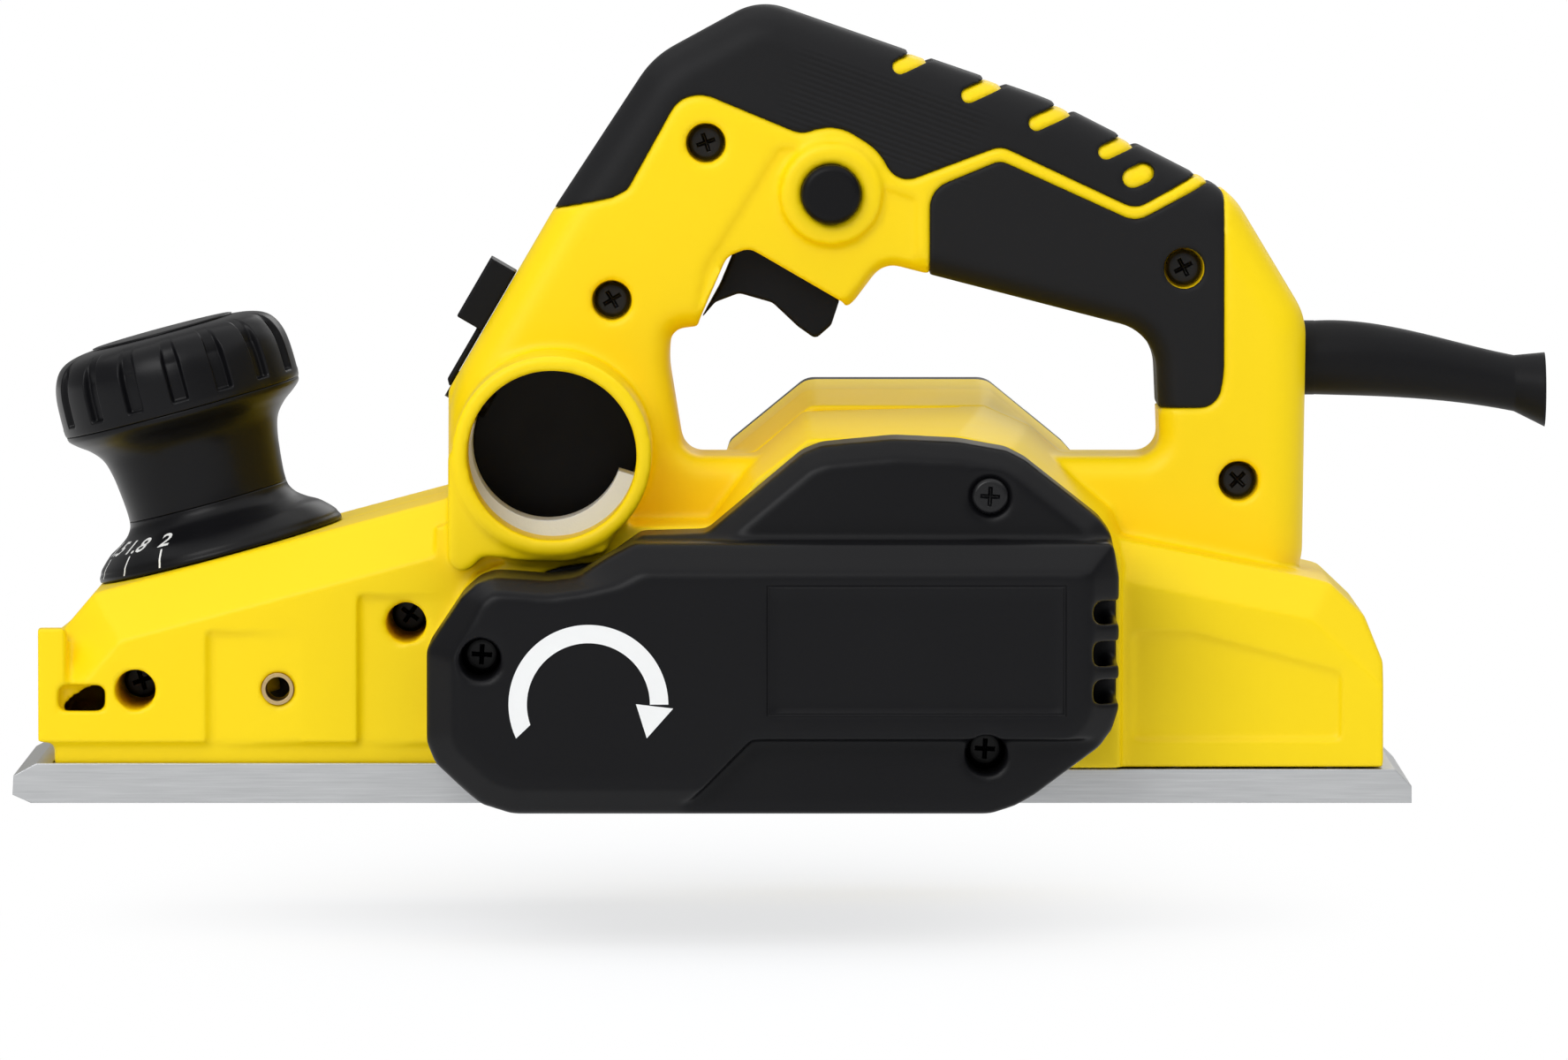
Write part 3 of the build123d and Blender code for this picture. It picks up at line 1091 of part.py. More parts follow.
# below the dust port the face reaches higher, so the bevel there is narrow
plateau_face = [(x, z + port_face_lift if -50 < x < -24 and z > 36 else z)
                for x, z in inset(plateau_line, cover_bevel)]
with BuildPart() as belt_cover:
    add(between([(cover_back_y, cover_line), (lobe_y + 4.0, cover_line), (lobe_y, inset(cover_line, 4.0))]))
    add(between([(cover_back_y - 10, plateau_line), (cover_face_y + cover_bevel, plateau_line),
                 (cover_face_y, plateau_face)]))
    slab(lower_corner, cover_face_y + 5.0, cover_face_y - 1, 0, 0, Mode.SUBTRACT)
    inner_lobe = inset(cover_line, cover_wall)
    inner_plateau = inset(plateau_line, cover_wall)
    add(between([(cover_back_y + 1, inner_lobe), (lobe_y + 4.0, inner_lobe),
                 (lobe_y + cover_wall, inset(cover_line, cover_wall + 2.6))]), mode=Mode.SUBTRACT)
    with BuildPart() as deep_hollow:
        add(between([(cover_back_y - 10, inner_plateau), (cover_face_y + cover_bevel, inner_plateau),
                     (cover_face_y + cover_wall, inset(plateau_line, cover_wall + cover_bevel - 1.6))]))
        slab(lower_corner, cover_face_y + 5.0 + cover_wall, cover_face_y - 1, 0, cover_wall, Mode.SUBTRACT)
    add(deep_hollow.part, mode=Mode.SUBTRACT)
    for (x, z), foot_y, seat_y, wall_y, radius in cover_posts:
        bar(x, z, radius, foot_y, wall_y)
    for (x, z), foot_y, seat_y, wall_y, radius in cover_posts:
        bar(x, z, screw_well_radius, seat_y, -90, Mode.SUBTRACT)
        bar(x, z, screw_radius + seat, 0, -90, Mode.SUBTRACT)
    for low, high in vent_rows:
        block(78.0, 90.0, -90.0, vent_end_y, low, high, Mode.SUBTRACT)
    block(74.0, 81.6, vent_end_y, vent_end_y + 2.0, 20.0, 47.0)
    slab([(11.7, 20.9), (11.7, 47.1), (72.2, 47.1), (72.2, 20.9)], cover_face_y + 0.6, cover_face_y - 1, 0, 0,
         Mode.SUBTRACT)
write(belt_cover, "belt_cover")

cover_screw_tips = [-39.6, -33.0, -44.5]
with BuildPart() as cover_screws:
    for ((x, z), foot_y, seat_y, wall_y, radius), tip_y in zip(cover_posts, cover_screw_tips):
        screw_along_y(x, z, seat_y - seat, tip_y - seat_y)
write(cover_screws, "cover_screws")

# ================================================================ handle fittings
with BuildPart() as housing_screws:
    for x, z, half in housing_screw_places:
        screw_along_y(x, z, -screw_seat_y - seat, screw_seat_y + 10.0)
write(housing_screws, "housing_screws")

sleeve_axis = [(126.0, sleeve_z, sleeve_radius - 0.05), (144.2, 89.35, 7.25), (156.7, 87.3, 6.3),
               (168.0, 85.1, 5.9)]
sleeve_tip = (174.4, 83.8, 7.8)
cord_radius = 3.8
with BuildPart() as strain_relief:
    with BuildSketch(Plane.YZ.offset(113.0)) as root_disc:
        with Locations((0, sleeve_z)):
            Circle(sleeve_radius)
    extrude(root_disc.sketch, amount=13.0)
    with BuildSketch(Plane.YZ.offset(sleeve_flange_x)) as flange_disc:
        with Locations((0, sleeve_z)):
            Circle(sleeve_flange_radius)
    extrude(flange_disc.sketch, amount=sleeve_flange_thickness)
    with BuildPart() as tapered:
        for x, z, radius in sleeve_axis:
            with BuildSketch(Plane.YZ.offset(x)):
                with Locations((0, z)):
                    Circle(radius)
        loft()
    add(tapered.part)
    with BuildPart() as flare:
        for x, z, radius in (sleeve_axis[-1], sleeve_tip):
            with BuildSketch(Plane.YZ.offset(x)):
                with Locations((0, z)):
                    Circle(radius)
        loft(ruled=True)
    add(flare.part)
    lean_down = radians(-10.8)
    with BuildSketch(Plane(origin=(sleeve_tip[0] + 1, 0, sleeve_tip[1] - 0.2), x_dir=Y_AXIS,
                           z_dir=(-cos(lean_down), 0, -sin(lean_down)))) as cord_hole:
        Circle(cord_radius)
    extrude(cord_hole.sketch, amount=26.0, mode=Mode.SUBTRACT)
write(strain_relief, "strain_relief")

trigger_outline = [
    (-2.4, 98.9), (1.5, 106.0), (4.0, 112.0), (3.2, 121.0), (5.0, 125.0), (10.0, 126.2), (13.0, 122.4),
    (14.4, 112.6),
    (26.7, 103.3), (24.8, 97.5), (21.5, 94.6), (17.8, 97.2), (12.5, 102.2), (5.5, 104.2), (0.5, 102.3),
]
trigger_radii = [0, 0, 0, 0, 1.5, 2, 2, 2, 1.2, 1.5, 1.2, 3, 2, 2, 0]
with BuildPart() as trigger:
    slab(trigger_outline, trigger_half, -trigger_half, trigger_radii)
    bar(trigger_pivot_x, trigger_pivot_z, pivot_radius + running, 20, -20, Mode.SUBTRACT)
write(trigger, "trigger")

with BuildPart() as trigger_pin:
    bar(trigger_pivot_x, trigger_pivot_z, pivot_radius, 11.9, -11.9)
write(trigger_pin, "trigger_pin")

button_out = 21.8
with BuildPart() as lock_button:
    bar(lock_x, lock_z, lock_radius, -10.5, -button_out)
    chamfer(lock_button.edges().filter_by(GeomType.CIRCLE).sort_by(Axis.Y)[0], 0.8)
write(lock_button, "lock_button")

switch_half = 13.7
with BuildPart() as switch_body:
    block(17.2, 43.0, -switch_half, switch_half, 117.0, 132.5)
    bar(lock_x, lock_z, 7.0, -7.0, -20.0, Mode.SUBTRACT)
    block(20.0, 24.0, -3.0, 3.0, 115.4, 117.5)
write(switch_body, "switch_body")

with BuildPart() as fence_inserts:
    for y in (-body_half + insert_length, body_half):
        bar(insert_x, insert_z, insert_radius, y, y - insert_length)
        bar(insert_x, insert_z, insert_bore_radius, y + 1, y - insert_length - 1, Mode.SUBTRACT)
write(fence_inserts, "fence_inserts")

liner_y, liner_length = 31.0, 13.0
liner_bore, liner_shift_x, liner_shift_z = 15.7, -1.2, 1.3
with BuildPart() as port_liners:
    for y in (liner_length - liner_y, liner_y):
        bar(port_x, port_z, port_duct_radius - seat, y, y - liner_length)
        bar(port_x + liner_shift_x, port_z + liner_shift_z, liner_bore, y + 1, y - liner_length - 1,
            Mode.SUBTRACT)
        slab([(port_x, port_z), (port_x - 30, port_z + 10.5), (port_x - 30, port_z + 30),
              (port_x + 30, port_z + 30), (port_x + 30, port_z - 9.0)],
             60, -60, 0, 0, Mode.SUBTRACT)
write(port_liners, "port_liners")

# ================================================================ chip selector
column_face = 25.15
lever_foot = column_face + running
with BuildPart() as selector_lever:
    with BuildSketch(on_stem(lever_foot)) as plate:
        with Locations((6.6, 0)):
            Rectangle(14.4, 10.0)
    extrude(plate.sketch, amount=1.3)
    with BuildSketch(on_stem(lever_foot)) as thumb:
        with Locations((20.1, 0)):
            Rectangle(14.2, 14.0)
    extrude(thumb.sketch, amount=6.2)
    chamfer(selector_lever.edges().filter_by(Axis.Y).sort_by(Axis.X)[0], 1.2)
write(selector_lever, "selector_lever")

flap_radius, flap_thickness = 17.3, 2.2
with BuildPart() as selector_flap:
    bar(port_x, port_z, flap_radius, flap_thickness / 2, -flap_thickness / 2)
    stem_bar(stem_radius, 16.0, lever_foot)
write(selector_flap, "selector_flap")
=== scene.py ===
import json
import bmesh
import bpy
from math import cos, pi, radians, sin
from mathutils import Matrix, Vector

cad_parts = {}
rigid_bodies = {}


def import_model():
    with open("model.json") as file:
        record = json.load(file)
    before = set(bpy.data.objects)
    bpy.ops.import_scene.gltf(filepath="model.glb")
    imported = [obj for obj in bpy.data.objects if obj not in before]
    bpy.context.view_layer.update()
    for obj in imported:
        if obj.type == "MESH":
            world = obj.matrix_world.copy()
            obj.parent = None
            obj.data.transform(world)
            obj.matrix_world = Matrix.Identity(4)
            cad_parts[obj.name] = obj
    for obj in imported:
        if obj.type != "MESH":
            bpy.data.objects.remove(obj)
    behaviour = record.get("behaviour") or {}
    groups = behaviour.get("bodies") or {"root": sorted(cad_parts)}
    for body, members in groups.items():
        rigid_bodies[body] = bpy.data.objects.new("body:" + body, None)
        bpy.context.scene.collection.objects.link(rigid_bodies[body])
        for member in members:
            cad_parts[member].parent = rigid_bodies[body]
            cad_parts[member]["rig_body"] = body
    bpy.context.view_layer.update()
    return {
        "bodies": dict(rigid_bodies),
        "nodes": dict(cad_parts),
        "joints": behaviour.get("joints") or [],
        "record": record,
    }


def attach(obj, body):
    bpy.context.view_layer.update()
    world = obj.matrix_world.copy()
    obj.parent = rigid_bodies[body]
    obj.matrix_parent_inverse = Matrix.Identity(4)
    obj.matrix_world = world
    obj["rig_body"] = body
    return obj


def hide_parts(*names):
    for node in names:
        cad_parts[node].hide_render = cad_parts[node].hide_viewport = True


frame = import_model()
nodes = frame["nodes"]
scene = bpy.context.scene
mm = 0.001


# ---------------------------------------------------------------- the two moulded shells
# Two halves of glass-filled nylon, moulded in yellow and screwed together on
# the middle plane. The mould is spark-eroded, which leaves a fine satin grain,
# and its corners are eased.
weld_gap = 0.002 * mm
triangle_limit = 190000


class Value:
    """A socket that carries a number; operators on it add Math nodes."""

    def __init__(self, finish, socket):
        self.finish, self.socket = finish, socket

    def math(self, operation, *others):
        sockets = [self] + list(others)
        return self.finish.node("ShaderNodeMath", {"operation": operation}, dict(enumerate(sockets)))[0]

    def __add__(self, other):
        return self.math("ADD", other)

    def __sub__(self, other):
        return self.math("SUBTRACT", other)

    def __mul__(self, other):
        return self.math("MULTIPLY", other)

    def __rsub__(self, other):
        return self * -1.0 + other

    def __gt__(self, other):
        return self.math("GREATER_THAN", other)

    def __lt__(self, other):
        return self.math("LESS_THAN", other)

    def ramp(self, low, high):
        """0 below low and 1 above high, eased between them."""
        return self.finish.node("ShaderNodeMapRange", {"interpolation_type": "SMOOTHSTEP"},
                                {0: self, 1: low, 2: high, 3: 0.0, 4: 1.0})[0]

    __radd__, __rmul__ = __add__, __mul__


class Finish:
    """A material built node by node round its Principled shader."""

    def __init__(self, name, **given):
        self.material = bpy.data.materials.new(name)
        self.material.use_nodes = True
        self.tree = self.material.node_tree
        self.shader = self.tree.nodes["Principled BSDF"]
        self.place = self.node("ShaderNodeTexCoord")["Object"].socket
        self.feed(**given)

    def node(self, kind, settings=None, inputs=None):
        """Adds a node and returns its outputs, by name or number."""
        made = self.tree.nodes.new(kind)
        for key, setting in (settings or {}).items():
            setattr(made, key, setting)
        for key, given in (inputs or {}).items():
            self.join(given, made.inputs[key])
        outputs = {output.name: Value(self, output) for output in made.outputs}
        outputs.update({number: Value(self, output) for number, output in enumerate(made.outputs)})
        return outputs

    def join(self, given, socket):
        given = getattr(given, "socket", given)
        if isinstance(given, bpy.types.NodeSocket):
            self.tree.links.new(given, socket)
        else:
            socket.default_value = given

    def feed(self, **given):
        """Sets or links sockets of the shader; an underscore stands for a space."""
        for key, value in given.items():
            self.join(value, self.shader.inputs[key.replace("_", " ")])

    def along(self, axis):
        """The place on the piece along X, Y or Z, in millimetres."""
        return self.node("ShaderNodeSeparateXYZ", None, {0: self.place})[axis] * 1000.0

    def noise(self, size, detail=3.0, stretch=(1.0, 1.0, 1.0)):
        """Noise whose spots are about this many millimetres across."""
        moved = self.node("ShaderNodeMapping", None, {"Vector": self.place, "Scale": stretch})[0]
        return self.node("ShaderNodeTexNoise", None, {
            "Vector": moved, "Scale": 1.0 / (size * mm), "Detail": detail, "Roughness": 0.55})[0]

    def blend(self, factor, first, second):
        """A colour between two, or between a colour and a linked one."""
        colours = [c if hasattr(c, "socket") else (*c, 1.0) for c in (first, second)]
        return self.node("ShaderNodeMix", {"data_type": "RGBA"}, {0: factor, 6: colours[0], 7: colours[1]})[2]

    def relief(self, height, depth, edge=0.0):
        """Relief of this depth in millimetres, over corners eased by an edge radius."""
        given = {"Height": height, "Distance": depth * mm, "Strength": 1.0}
        if edge:
            given["Normal"] = self.node("ShaderNodeBevel", {"samples": 5}, {"Radius": edge * mm})[0]
        self.feed(Normal=self.node("ShaderNodeBump", None, given)[0])


def moulded(name, light, dark, rough, grain, edge=0.0, gloss=0.5):
    """Moulded plastic: a fine grain, a slight drift of tone and of gloss."""
    finish = Finish(name, Specular_IOR_Level=gloss)
    finish.tone = finish.blend(finish.noise(42.0, 2.0), dark, light)
    finish.grain = finish.noise(0.4, 2.0)
    finish.feed(Base_Color=finish.tone, Roughness=finish.noise(9.0) * 0.10 + (rough - 0.05))
    finish.relief(finish.grain, grain, edge)
    return finish


def baked(piece):
    """Turns a piece's modifiers into its plain mesh."""
    graph = bpy.context.evaluated_depsgraph_get()
    piece.data = bpy.data.meshes.new_from_object(piece.evaluated_get(graph))
    piece.modifiers.clear()


def shade_smooth(mesh):
    """Smooths the shading over all the faces."""
    mesh.polygons.foreach_set("use_smooth", [True] * len(mesh.polygons))


def eased(name, finish, grid, passes, limit=triangle_limit):
    """Stands for a CAD node with the rounded corners that its mould gives it."""
    skin = nodes[name].data.copy()
    weld = bmesh.new()
    weld.from_mesh(skin)
    bmesh.ops.remove_doubles(weld, verts=weld.verts, dist=weld_gap)
    weld.to_mesh(skin)
    weld.free()
    piece = bpy.data.objects.new(name + "_moulded", skin)
    scene.collection.objects.link(piece)
    cells = piece.modifiers.new("cells", "REMESH")
    cells.mode, cells.voxel_size = "VOXEL", grid * mm
    ease = piece.modifiers.new("ease", "SMOOTH")
    ease.factor, ease.iterations = 0.5, passes
    baked(piece)
    faces = 2 * len(piece.data.polygons)
    if faces > limit:
        thin = piece.modifiers.new("thin", "DECIMATE")
        thin.ratio = limit / faces
        baked(piece)
    shade_smooth(piece.data)
    piece.data.materials.clear()
    piece.data.materials.append(finish.material)
    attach(piece, nodes[name]["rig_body"])
    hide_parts(name)
    return piece


def dress(finish, *names):
    """Gives CAD nodes a finish in place of the one they come with."""
    for name in names:
        nodes[name].data.materials.clear()
        nodes[name].data.materials.append(finish.material)


yellow = moulded("yellow_nylon", (0.99, 0.715, 0.002), (0.97, 0.69, 0.001), 0.42, 0.010, gloss=0.24)
for side in ("left", "right"):
    eased(side + "_housing", yellow, 0.75, 4)

# ---------------------------------------------------------------- soft grips
# Thermoplastic rubber, moulded over the shells on both sides of the handle.
# Its skin is matt, and a field of fine ridges runs along the upper one.
rubber = moulded("grip_rubber", (0.009, 0.009, 0.010), (0.007, 0.007, 0.008), 0.55, 0.012, gloss=0.18)
x, z = rubber.along("X"), rubber.along("Z")
lean, ridge_spacing = radians(-19.5), 1.15
across = z * cos(lean) - x * sin(lean)
along = x * cos(lean) + z * sin(lean)
field = (along.ramp(-38.0, -30.0) * (1.0 - along.ramp(4.0, 10.0))
         * across.ramp(136.0, 138.0) * (1.0 - across.ramp(152.0, 155.0)))
ridges = (across * (2 * pi / ridge_spacing)).math("SINE") * field
rubber.relief(ridges * 0.5 + rubber.grain * 0.12, 0.10)
for side in ("left", "right"):
    for place in ("upper", "lower"):
        eased(side + "_" + place + "_grip", rubber, 0.45, 5, 120000)


# ---------------------------------------------------------------- sole and shoe
# Two aluminium pressure castings. Their faces are ground and brushed along
# the tool; the bevels are milled and stay brighter.
def metal(name, light, dark, rough, lines, size, edge, depth=0.012):
    """Metal with the fine lines that grinding or turning leaves along one axis."""
    finish = Finish(name, Metallic=1.0)
    streaks = finish.noise(size, 4.0, lines)
    finish.feed(Base_Color=finish.blend(streaks, dark, light),
                Roughness=finish.noise(size * 2, 2.0, lines) * 0.16 + (rough - 0.08))
    finish.relief(streaks, depth, edge)
    return finish


brushed = metal("brushed_aluminium", (0.70, 0.71, 0.72), (0.46, 0.47, 0.48), 0.44,
                (0.03, 1.0, 1.0), 0.45, 0.35)
dress(brushed, "front_shoe", "rear_sole")

# ---------------------------------------------------------------- depth knob
# Turned shapes in black nylon: a flared skirt with the depth scale, a waisted
# body, and a cap with sixteen finger pockets and a plain disc let into it.
black = moulded("black_nylon", (0.005, 0.005, 0.006), (0.004, 0.004, 0.005), 0.36, 0.010, 0.8, 0.14)
satin = moulded("satin_nylon", (0.006, 0.006, 0.007), (0.004, 0.004, 0.005), 0.32, 0.010, gloss=0.16)
knob_foot = Vector((-103.2, 0.0, 50.0))
knob_lean = radians(15.0)
knob_up = Vector((-sin(knob_lean), 0.0, cos(knob_lean)))
knob_right = Vector((cos(knob_lean), 0.0, sin(knob_lean)))
pocket_count, pocket_turn = 16, radians(3.2)
pocket_foot, pocket_head, pocket_shoulder = 33.2, 46.8, 5.0
pocket_depth, pocket_half, pocket_flare, pocket_wall = 1.5, 1.55, 0.45, 0.7
seam_gap = 0.001 * mm


def smooth_line(points, step=0.35):
    """A smooth curve through (radius, height) points, as closely spaced points."""
    line = []
    for i in range(len(points) - 1):
        before, start, end, after = (Vector(points[max(0, min(len(points) - 1, j))])
                                     for j in (i - 1, i, i + 1, i + 2))
        count = max(1, round((end - start).length / step))
        for part in range(count):
            t = part / count
            line.append(0.5 * (2 * start + (end - before) * t
                               + (2 * before - 5 * start + 4 * end - after) * t * t
                               + (3 * start - before - 3 * end + after) * t ** 3))
    return line + [Vector(points[-1])]


def on_knob(turn, radius, height):
    """A point on the knob; turn 0 faces the belt side and grows towards the tail."""
    return (knob_foot + knob_up * height + knob_right * (radius * sin(turn))
            + Vector((0.0, -radius * cos(turn), 0.0))) * mm


def finished(name, verts, faces, finish, body, replaced=(), smooth=True):
    """A mesh piece that rides on a body, welded and facing outwards."""
    mesh = bpy.data.meshes.new(name)
    mesh.from_pydata(verts, [], faces)
    weld = bmesh.new()
    weld.from_mesh(mesh)
    bmesh.ops.remove_doubles(weld, verts=weld.verts, dist=seam_gap)
    bmesh.ops.recalc_face_normals(weld, faces=weld.faces)
    weld.to_mesh(mesh)
    weld.free()
    if smooth:
        shade_smooth(mesh)
    mesh.materials.append(finish.material)
    piece = bpy.data.objects.new(name, mesh)
    scene.collection.objects.link(piece)
    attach(piece, body)
    if replaced:
        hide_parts(*replaced)
    return piece


def turned_piece(name, outer, bore, finish, replaced, dent=None, segments=256):
    """A closed form turned about the knob's axis; dent gives the depth of a hollow."""
    line = smooth_line(outer)
    ring_points = [(Vector((bore, line[0].y)), 0.0)]
    ring_points += [(point, 1.0) for point in line]
    ring_points += [(Vector((bore, line[-1].y)), 0.0)]
    verts, faces = [], []
    count = len(ring_points)
    for segment in range(segments):
        turn = 2 * pi * segment / segments
        for point, outside in ring_points:
            depth = dent(turn, point) if dent and outside else 0.0
            verts.append(on_knob(turn, point.x - depth, point.y - depth * 0.25))
    for segment in range(segments):
        following = (segment + 1) % segments
        for i in range(count):
            j = (i + 1) % count
            faces.append((segment * count + i, segment * count + j,
                          following * count + j, following * count + i))
    return finished(name, verts, faces, finish, "depth_knob", replaced)


skirt_line = [(26.2, 0.05), (26.2, 0.8), (25.8, 1.5), (25.2, 2.6), (22.8, 4.9), (20.4, 6.3),
              (18.4, 7.8), (17.3, 9.4), (17.0, 10.7)]
body_line = [(17.0, 10.8), (17.0, 13.0), (17.35, 17.0), (17.9, 21.0), (18.9, 24.4), (20.9, 26.9), (23.4, 28.8),
             (24.9, 30.2), (25.1, 31.15)]
cap_line = [(25.2, 31.3), (25.4, 32.4), (25.4, 36.0), (25.2, 39.5), (24.6, 42.2), (23.3, 44.6), (21.4, 46.1),
            (18.6, 47.0), (15.3, 47.4), (15.3, 47.0)]
disc_line = [(15.0, 46.4), (15.0, 47.5), (14.4, 47.9), (8.0, 48.15), (0.4, 48.2)]


def pocket(turn, point):
    """Depth of the finger pockets: square at the foot, running out over the shoulder."""
    spacing = 2 * pi / pocket_count
    off = (turn - pocket_turn + spacing / 2) % spacing - spacing / 2
    foot = min(1.0, max(0.0, (point.y - pocket_foot) / pocket_wall))
    head = min(1.0, max(0.0, (pocket_head - point.y) / pocket_shoulder))
    half = pocket_half + pocket_flare * head
    side = min(1.0, max(0.0, (half - abs(off) * point.x) / pocket_wall))
    return pocket_depth * foot * foot * (3 - 2 * foot) * head * side * side * (3 - 2 * side)


turned_piece("dial_skirt", skirt_line, 5.05, satin, ["knob_skirt"])
turned_piece("knob_waist", body_line, 9.0, satin, ["knob_body"])
turned_piece("knob_crown", cap_line, 9.0, satin, ["knob_cap"], pocket, 1024)
turned_piece("knob_top", disc_line, 0.4, satin, ["knob_disc"])
dress(black, "spindle_nut")

# ---------------------------------------------------------------- depth scale
# White pad printing on the skirt: nine ticks over half a turn, with the cut in
# millimetres above each, in steps of a quarter.
paint = moulded("white_paint", (0.86, 0.86, 0.84), (0.78, 0.78, 0.76), 0.5, 0.004)
scale_marks = ["0", ".3", ".5", ".8", "1", "1.3", "1.5", "1.8", "2"]
last_mark_turn, mark_step = radians(-27.4), radians(22.5)
first_mark_turn = last_mark_turn - mark_step * (len(scale_marks) - 1)
print_foot, print_film = 0.7, 0.04
tick_half, tick_start, tick_step, tick_parts = 0.22, 0.1, 0.38, 12
figure_size, figure_foot = 5.8, 5.5
skirt_slope = smooth_line(skirt_line, 0.1)
distance, slope_places = 0.0, []
for start, end in zip(skirt_slope, skirt_slope[1:]):
    if start.y >= print_foot:
        slope_places.append((distance, start, (end - start).normalized()))
        distance += (end - start).length


def on_slope(turn, sideways, up):
    """A point of the print, laid on the skirt with a film's thickness."""
    point = knob_slope(up)
    return on_knob(turn + sideways / point.x, point.x, point.y)


knob_frame = Matrix((knob_right, (0.0, 1.0, 0.0), knob_up)).transposed().to_4x4()
knob_frame.translation = knob_foot * mm


class Growth:
    """A Geometry Nodes tree that repeats one form, then is turned into a plain mesh."""

    def __init__(self, name, **given):
        self.tree = bpy.data.node_groups.new(name, "GeometryNodeTree")
        self.given = {}
        kinds = {"Places": "NodeSocketGeometry", "Form": "NodeSocketObject", "Finish": "NodeSocketMaterial",
                 "Count": "NodeSocketInt", "Seed": "NodeSocketInt"}
        for key, value in given.items():
            kind = kinds.get(key, "NodeSocketFloat")
            socket = self.tree.interface.new_socket(key, in_out="INPUT", socket_type=kind)
            if key != "Places":
                self.given[socket.identifier] = value
        self.tree.interface.new_socket("Grown", in_out="OUTPUT", socket_type="NodeSocketGeometry")
        self.inputs = self.node("NodeGroupInput")
        self.form = self.node("GeometryNodeObjectInfo", Object=self.inputs["Form"])["Geometry"]

    def node(self, kind, settings=None, **joined):
        """Adds a node; each named input is linked to a socket or set to a value."""
        made = self.tree.nodes.new(kind)
        for key, setting in (settings or {}).items():
            setattr(made, key, setting)
        for key, value in joined.items():
            socket = made.inputs[int(key[1:]) if key[1:].isdigit() else key]
            if isinstance(value, bpy.types.NodeSocket):
                self.tree.links.new(value, socket)
            else:
                socket.default_value = value
        return made.outputs

    def grow(self, name, points, turn, places, frame=None):
        """Sets the form on the points and returns the finished mesh."""
        set_out = self.node("GeometryNodeInstanceOnPoints", Points=points, Instance=self.form, Rotation=turn)
        joined = self.node("GeometryNodeRealizeInstances", Geometry=set_out[0])
        clad = self.node("GeometryNodeSetMaterial", Geometry=joined[0], Material=self.inputs["Finish"])
        self.node("NodeGroupOutput", Grown=clad[0])
        seedbed = bpy.data.meshes.new(name)
        seedbed.from_pydata(places, [], [])
        carrier = bpy.data.objects.new(name, seedbed)
        scene.collection.objects.link(carrier)
        growth = carrier.modifiers.new(name, "NODES")
        growth.node_group = self.tree
        for identifier, value in self.given.items():
            growth[identifier] = value
        graph = bpy.context.evaluated_depsgraph_get()
        carrier.data = bpy.data.meshes.new_from_object(
            carrier.evaluated_get(graph), preserve_all_data_layers=True, depsgraph=graph)
        carrier.modifiers.remove(growth)
        if frame:
            carrier.data.transform(frame)
        return carrier


def form_of(name, verts, faces):
    """A hidden form for a tree to repeat; it is thrown away afterwards."""
    mesh = bpy.data.meshes.new(name)
    mesh.from_pydata(verts, [], faces)
    form = bpy.data.objects.new(name, mesh)
    scene.collection.objects.link(form)
    return form


def knob_slope(up):
    """Radius and height of the print, this far up the skirt's slope."""
    place = min(slope_places, key=lambda each: abs(each[0] - up))
    return place[1] + Vector((place[2].y, -place[2].x)) * print_film + place[2] * (up - place[0])


tick_places = [knob_slope(tick_start + tick_step * part) for part in range(tick_parts + 1)]
tick = form_of("tick",
               [(side * tick_half * mm, -place.x * mm, place.y * mm)
                for place in tick_places for side in (-1, 1)],
               [(2 * part, 2 * part + 1, 2 * part + 3, 2 * part + 2) for part in range(tick_parts)])
ring = Growth("scale_ticks", Form=tick, Finish=paint.material, Count=len(scale_marks),
              First=first_mark_turn, Step=mark_step)
turn = ring.node("ShaderNodeMath", {"operation": "MULTIPLY_ADD"}, _0=ring.node("GeometryNodeInputIndex")[0],
                 _1=ring.inputs["Step"], _2=ring.inputs["First"])[0]
spin = ring.node("ShaderNodeCombineXYZ", Z=turn)[0]
points = ring.node("GeometryNodePoints", Count=ring.inputs["Count"])[0]
ticks = ring.grow("scale_ticks", points, spin, [], knob_frame)
bpy.data.objects.remove(tick)
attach(ticks, "depth_knob")

verts, faces = [], []
for number, mark in enumerate(scale_marks):
    turn = last_mark_turn - mark_step * (len(scale_marks) - 1 - number)
    text = bpy.data.curves.new("mark", "FONT")
    text.body, text.size, text.align_x = mark, figure_size, "CENTER"
    text.resolution_u, text.shear, text.offset = 4, 0.12, 0.08
    carrier = bpy.data.objects.new("mark", text)
    scene.collection.objects.link(carrier)
    drawn = bpy.data.meshes.new_from_object(carrier.evaluated_get(bpy.context.evaluated_depsgraph_get()))
    first = len(verts)
    verts += [on_slope(turn, vertex.co.x, figure_foot + vertex.co.y) for vertex in drawn.vertices]
    faces += [tuple(first + corner for corner in face.vertices) for face in drawn.polygons]
    bpy.data.objects.remove(carrier)
finished("scale_figures", verts, faces, paint, "depth_knob", smooth=False)

# ---------------------------------------------------------------- belt cover
# One moulding in black nylon, held by three screws. The arrow printed on its
# face in white shows which way the drum turns.
cover = moulded("cover_nylon", (0.006, 0.006, 0.007), (0.004, 0.004, 0.005), 0.34, 0.010, gloss=0.15)
drum_x, drum_z = -25.0, 23.1
x, y, z = cover.along("X") - drum_x, cover.along("Y"), cover.along("Z") - drum_z
radius = (x * x + z * z).math("SQRT")
arrow_inner, arrow_outer, printed_face = 12.55, 16.3, -78.2
arc = (radius > arrow_inner) * (radius < arrow_outer)


def beyond(x0, z0, x1, z1):
    """1 on the left of the line from one point to the other, seen from the front."""
    return (z - z0) * (x1 - x0) - (x - x0) * (z1 - z0) > 0.0


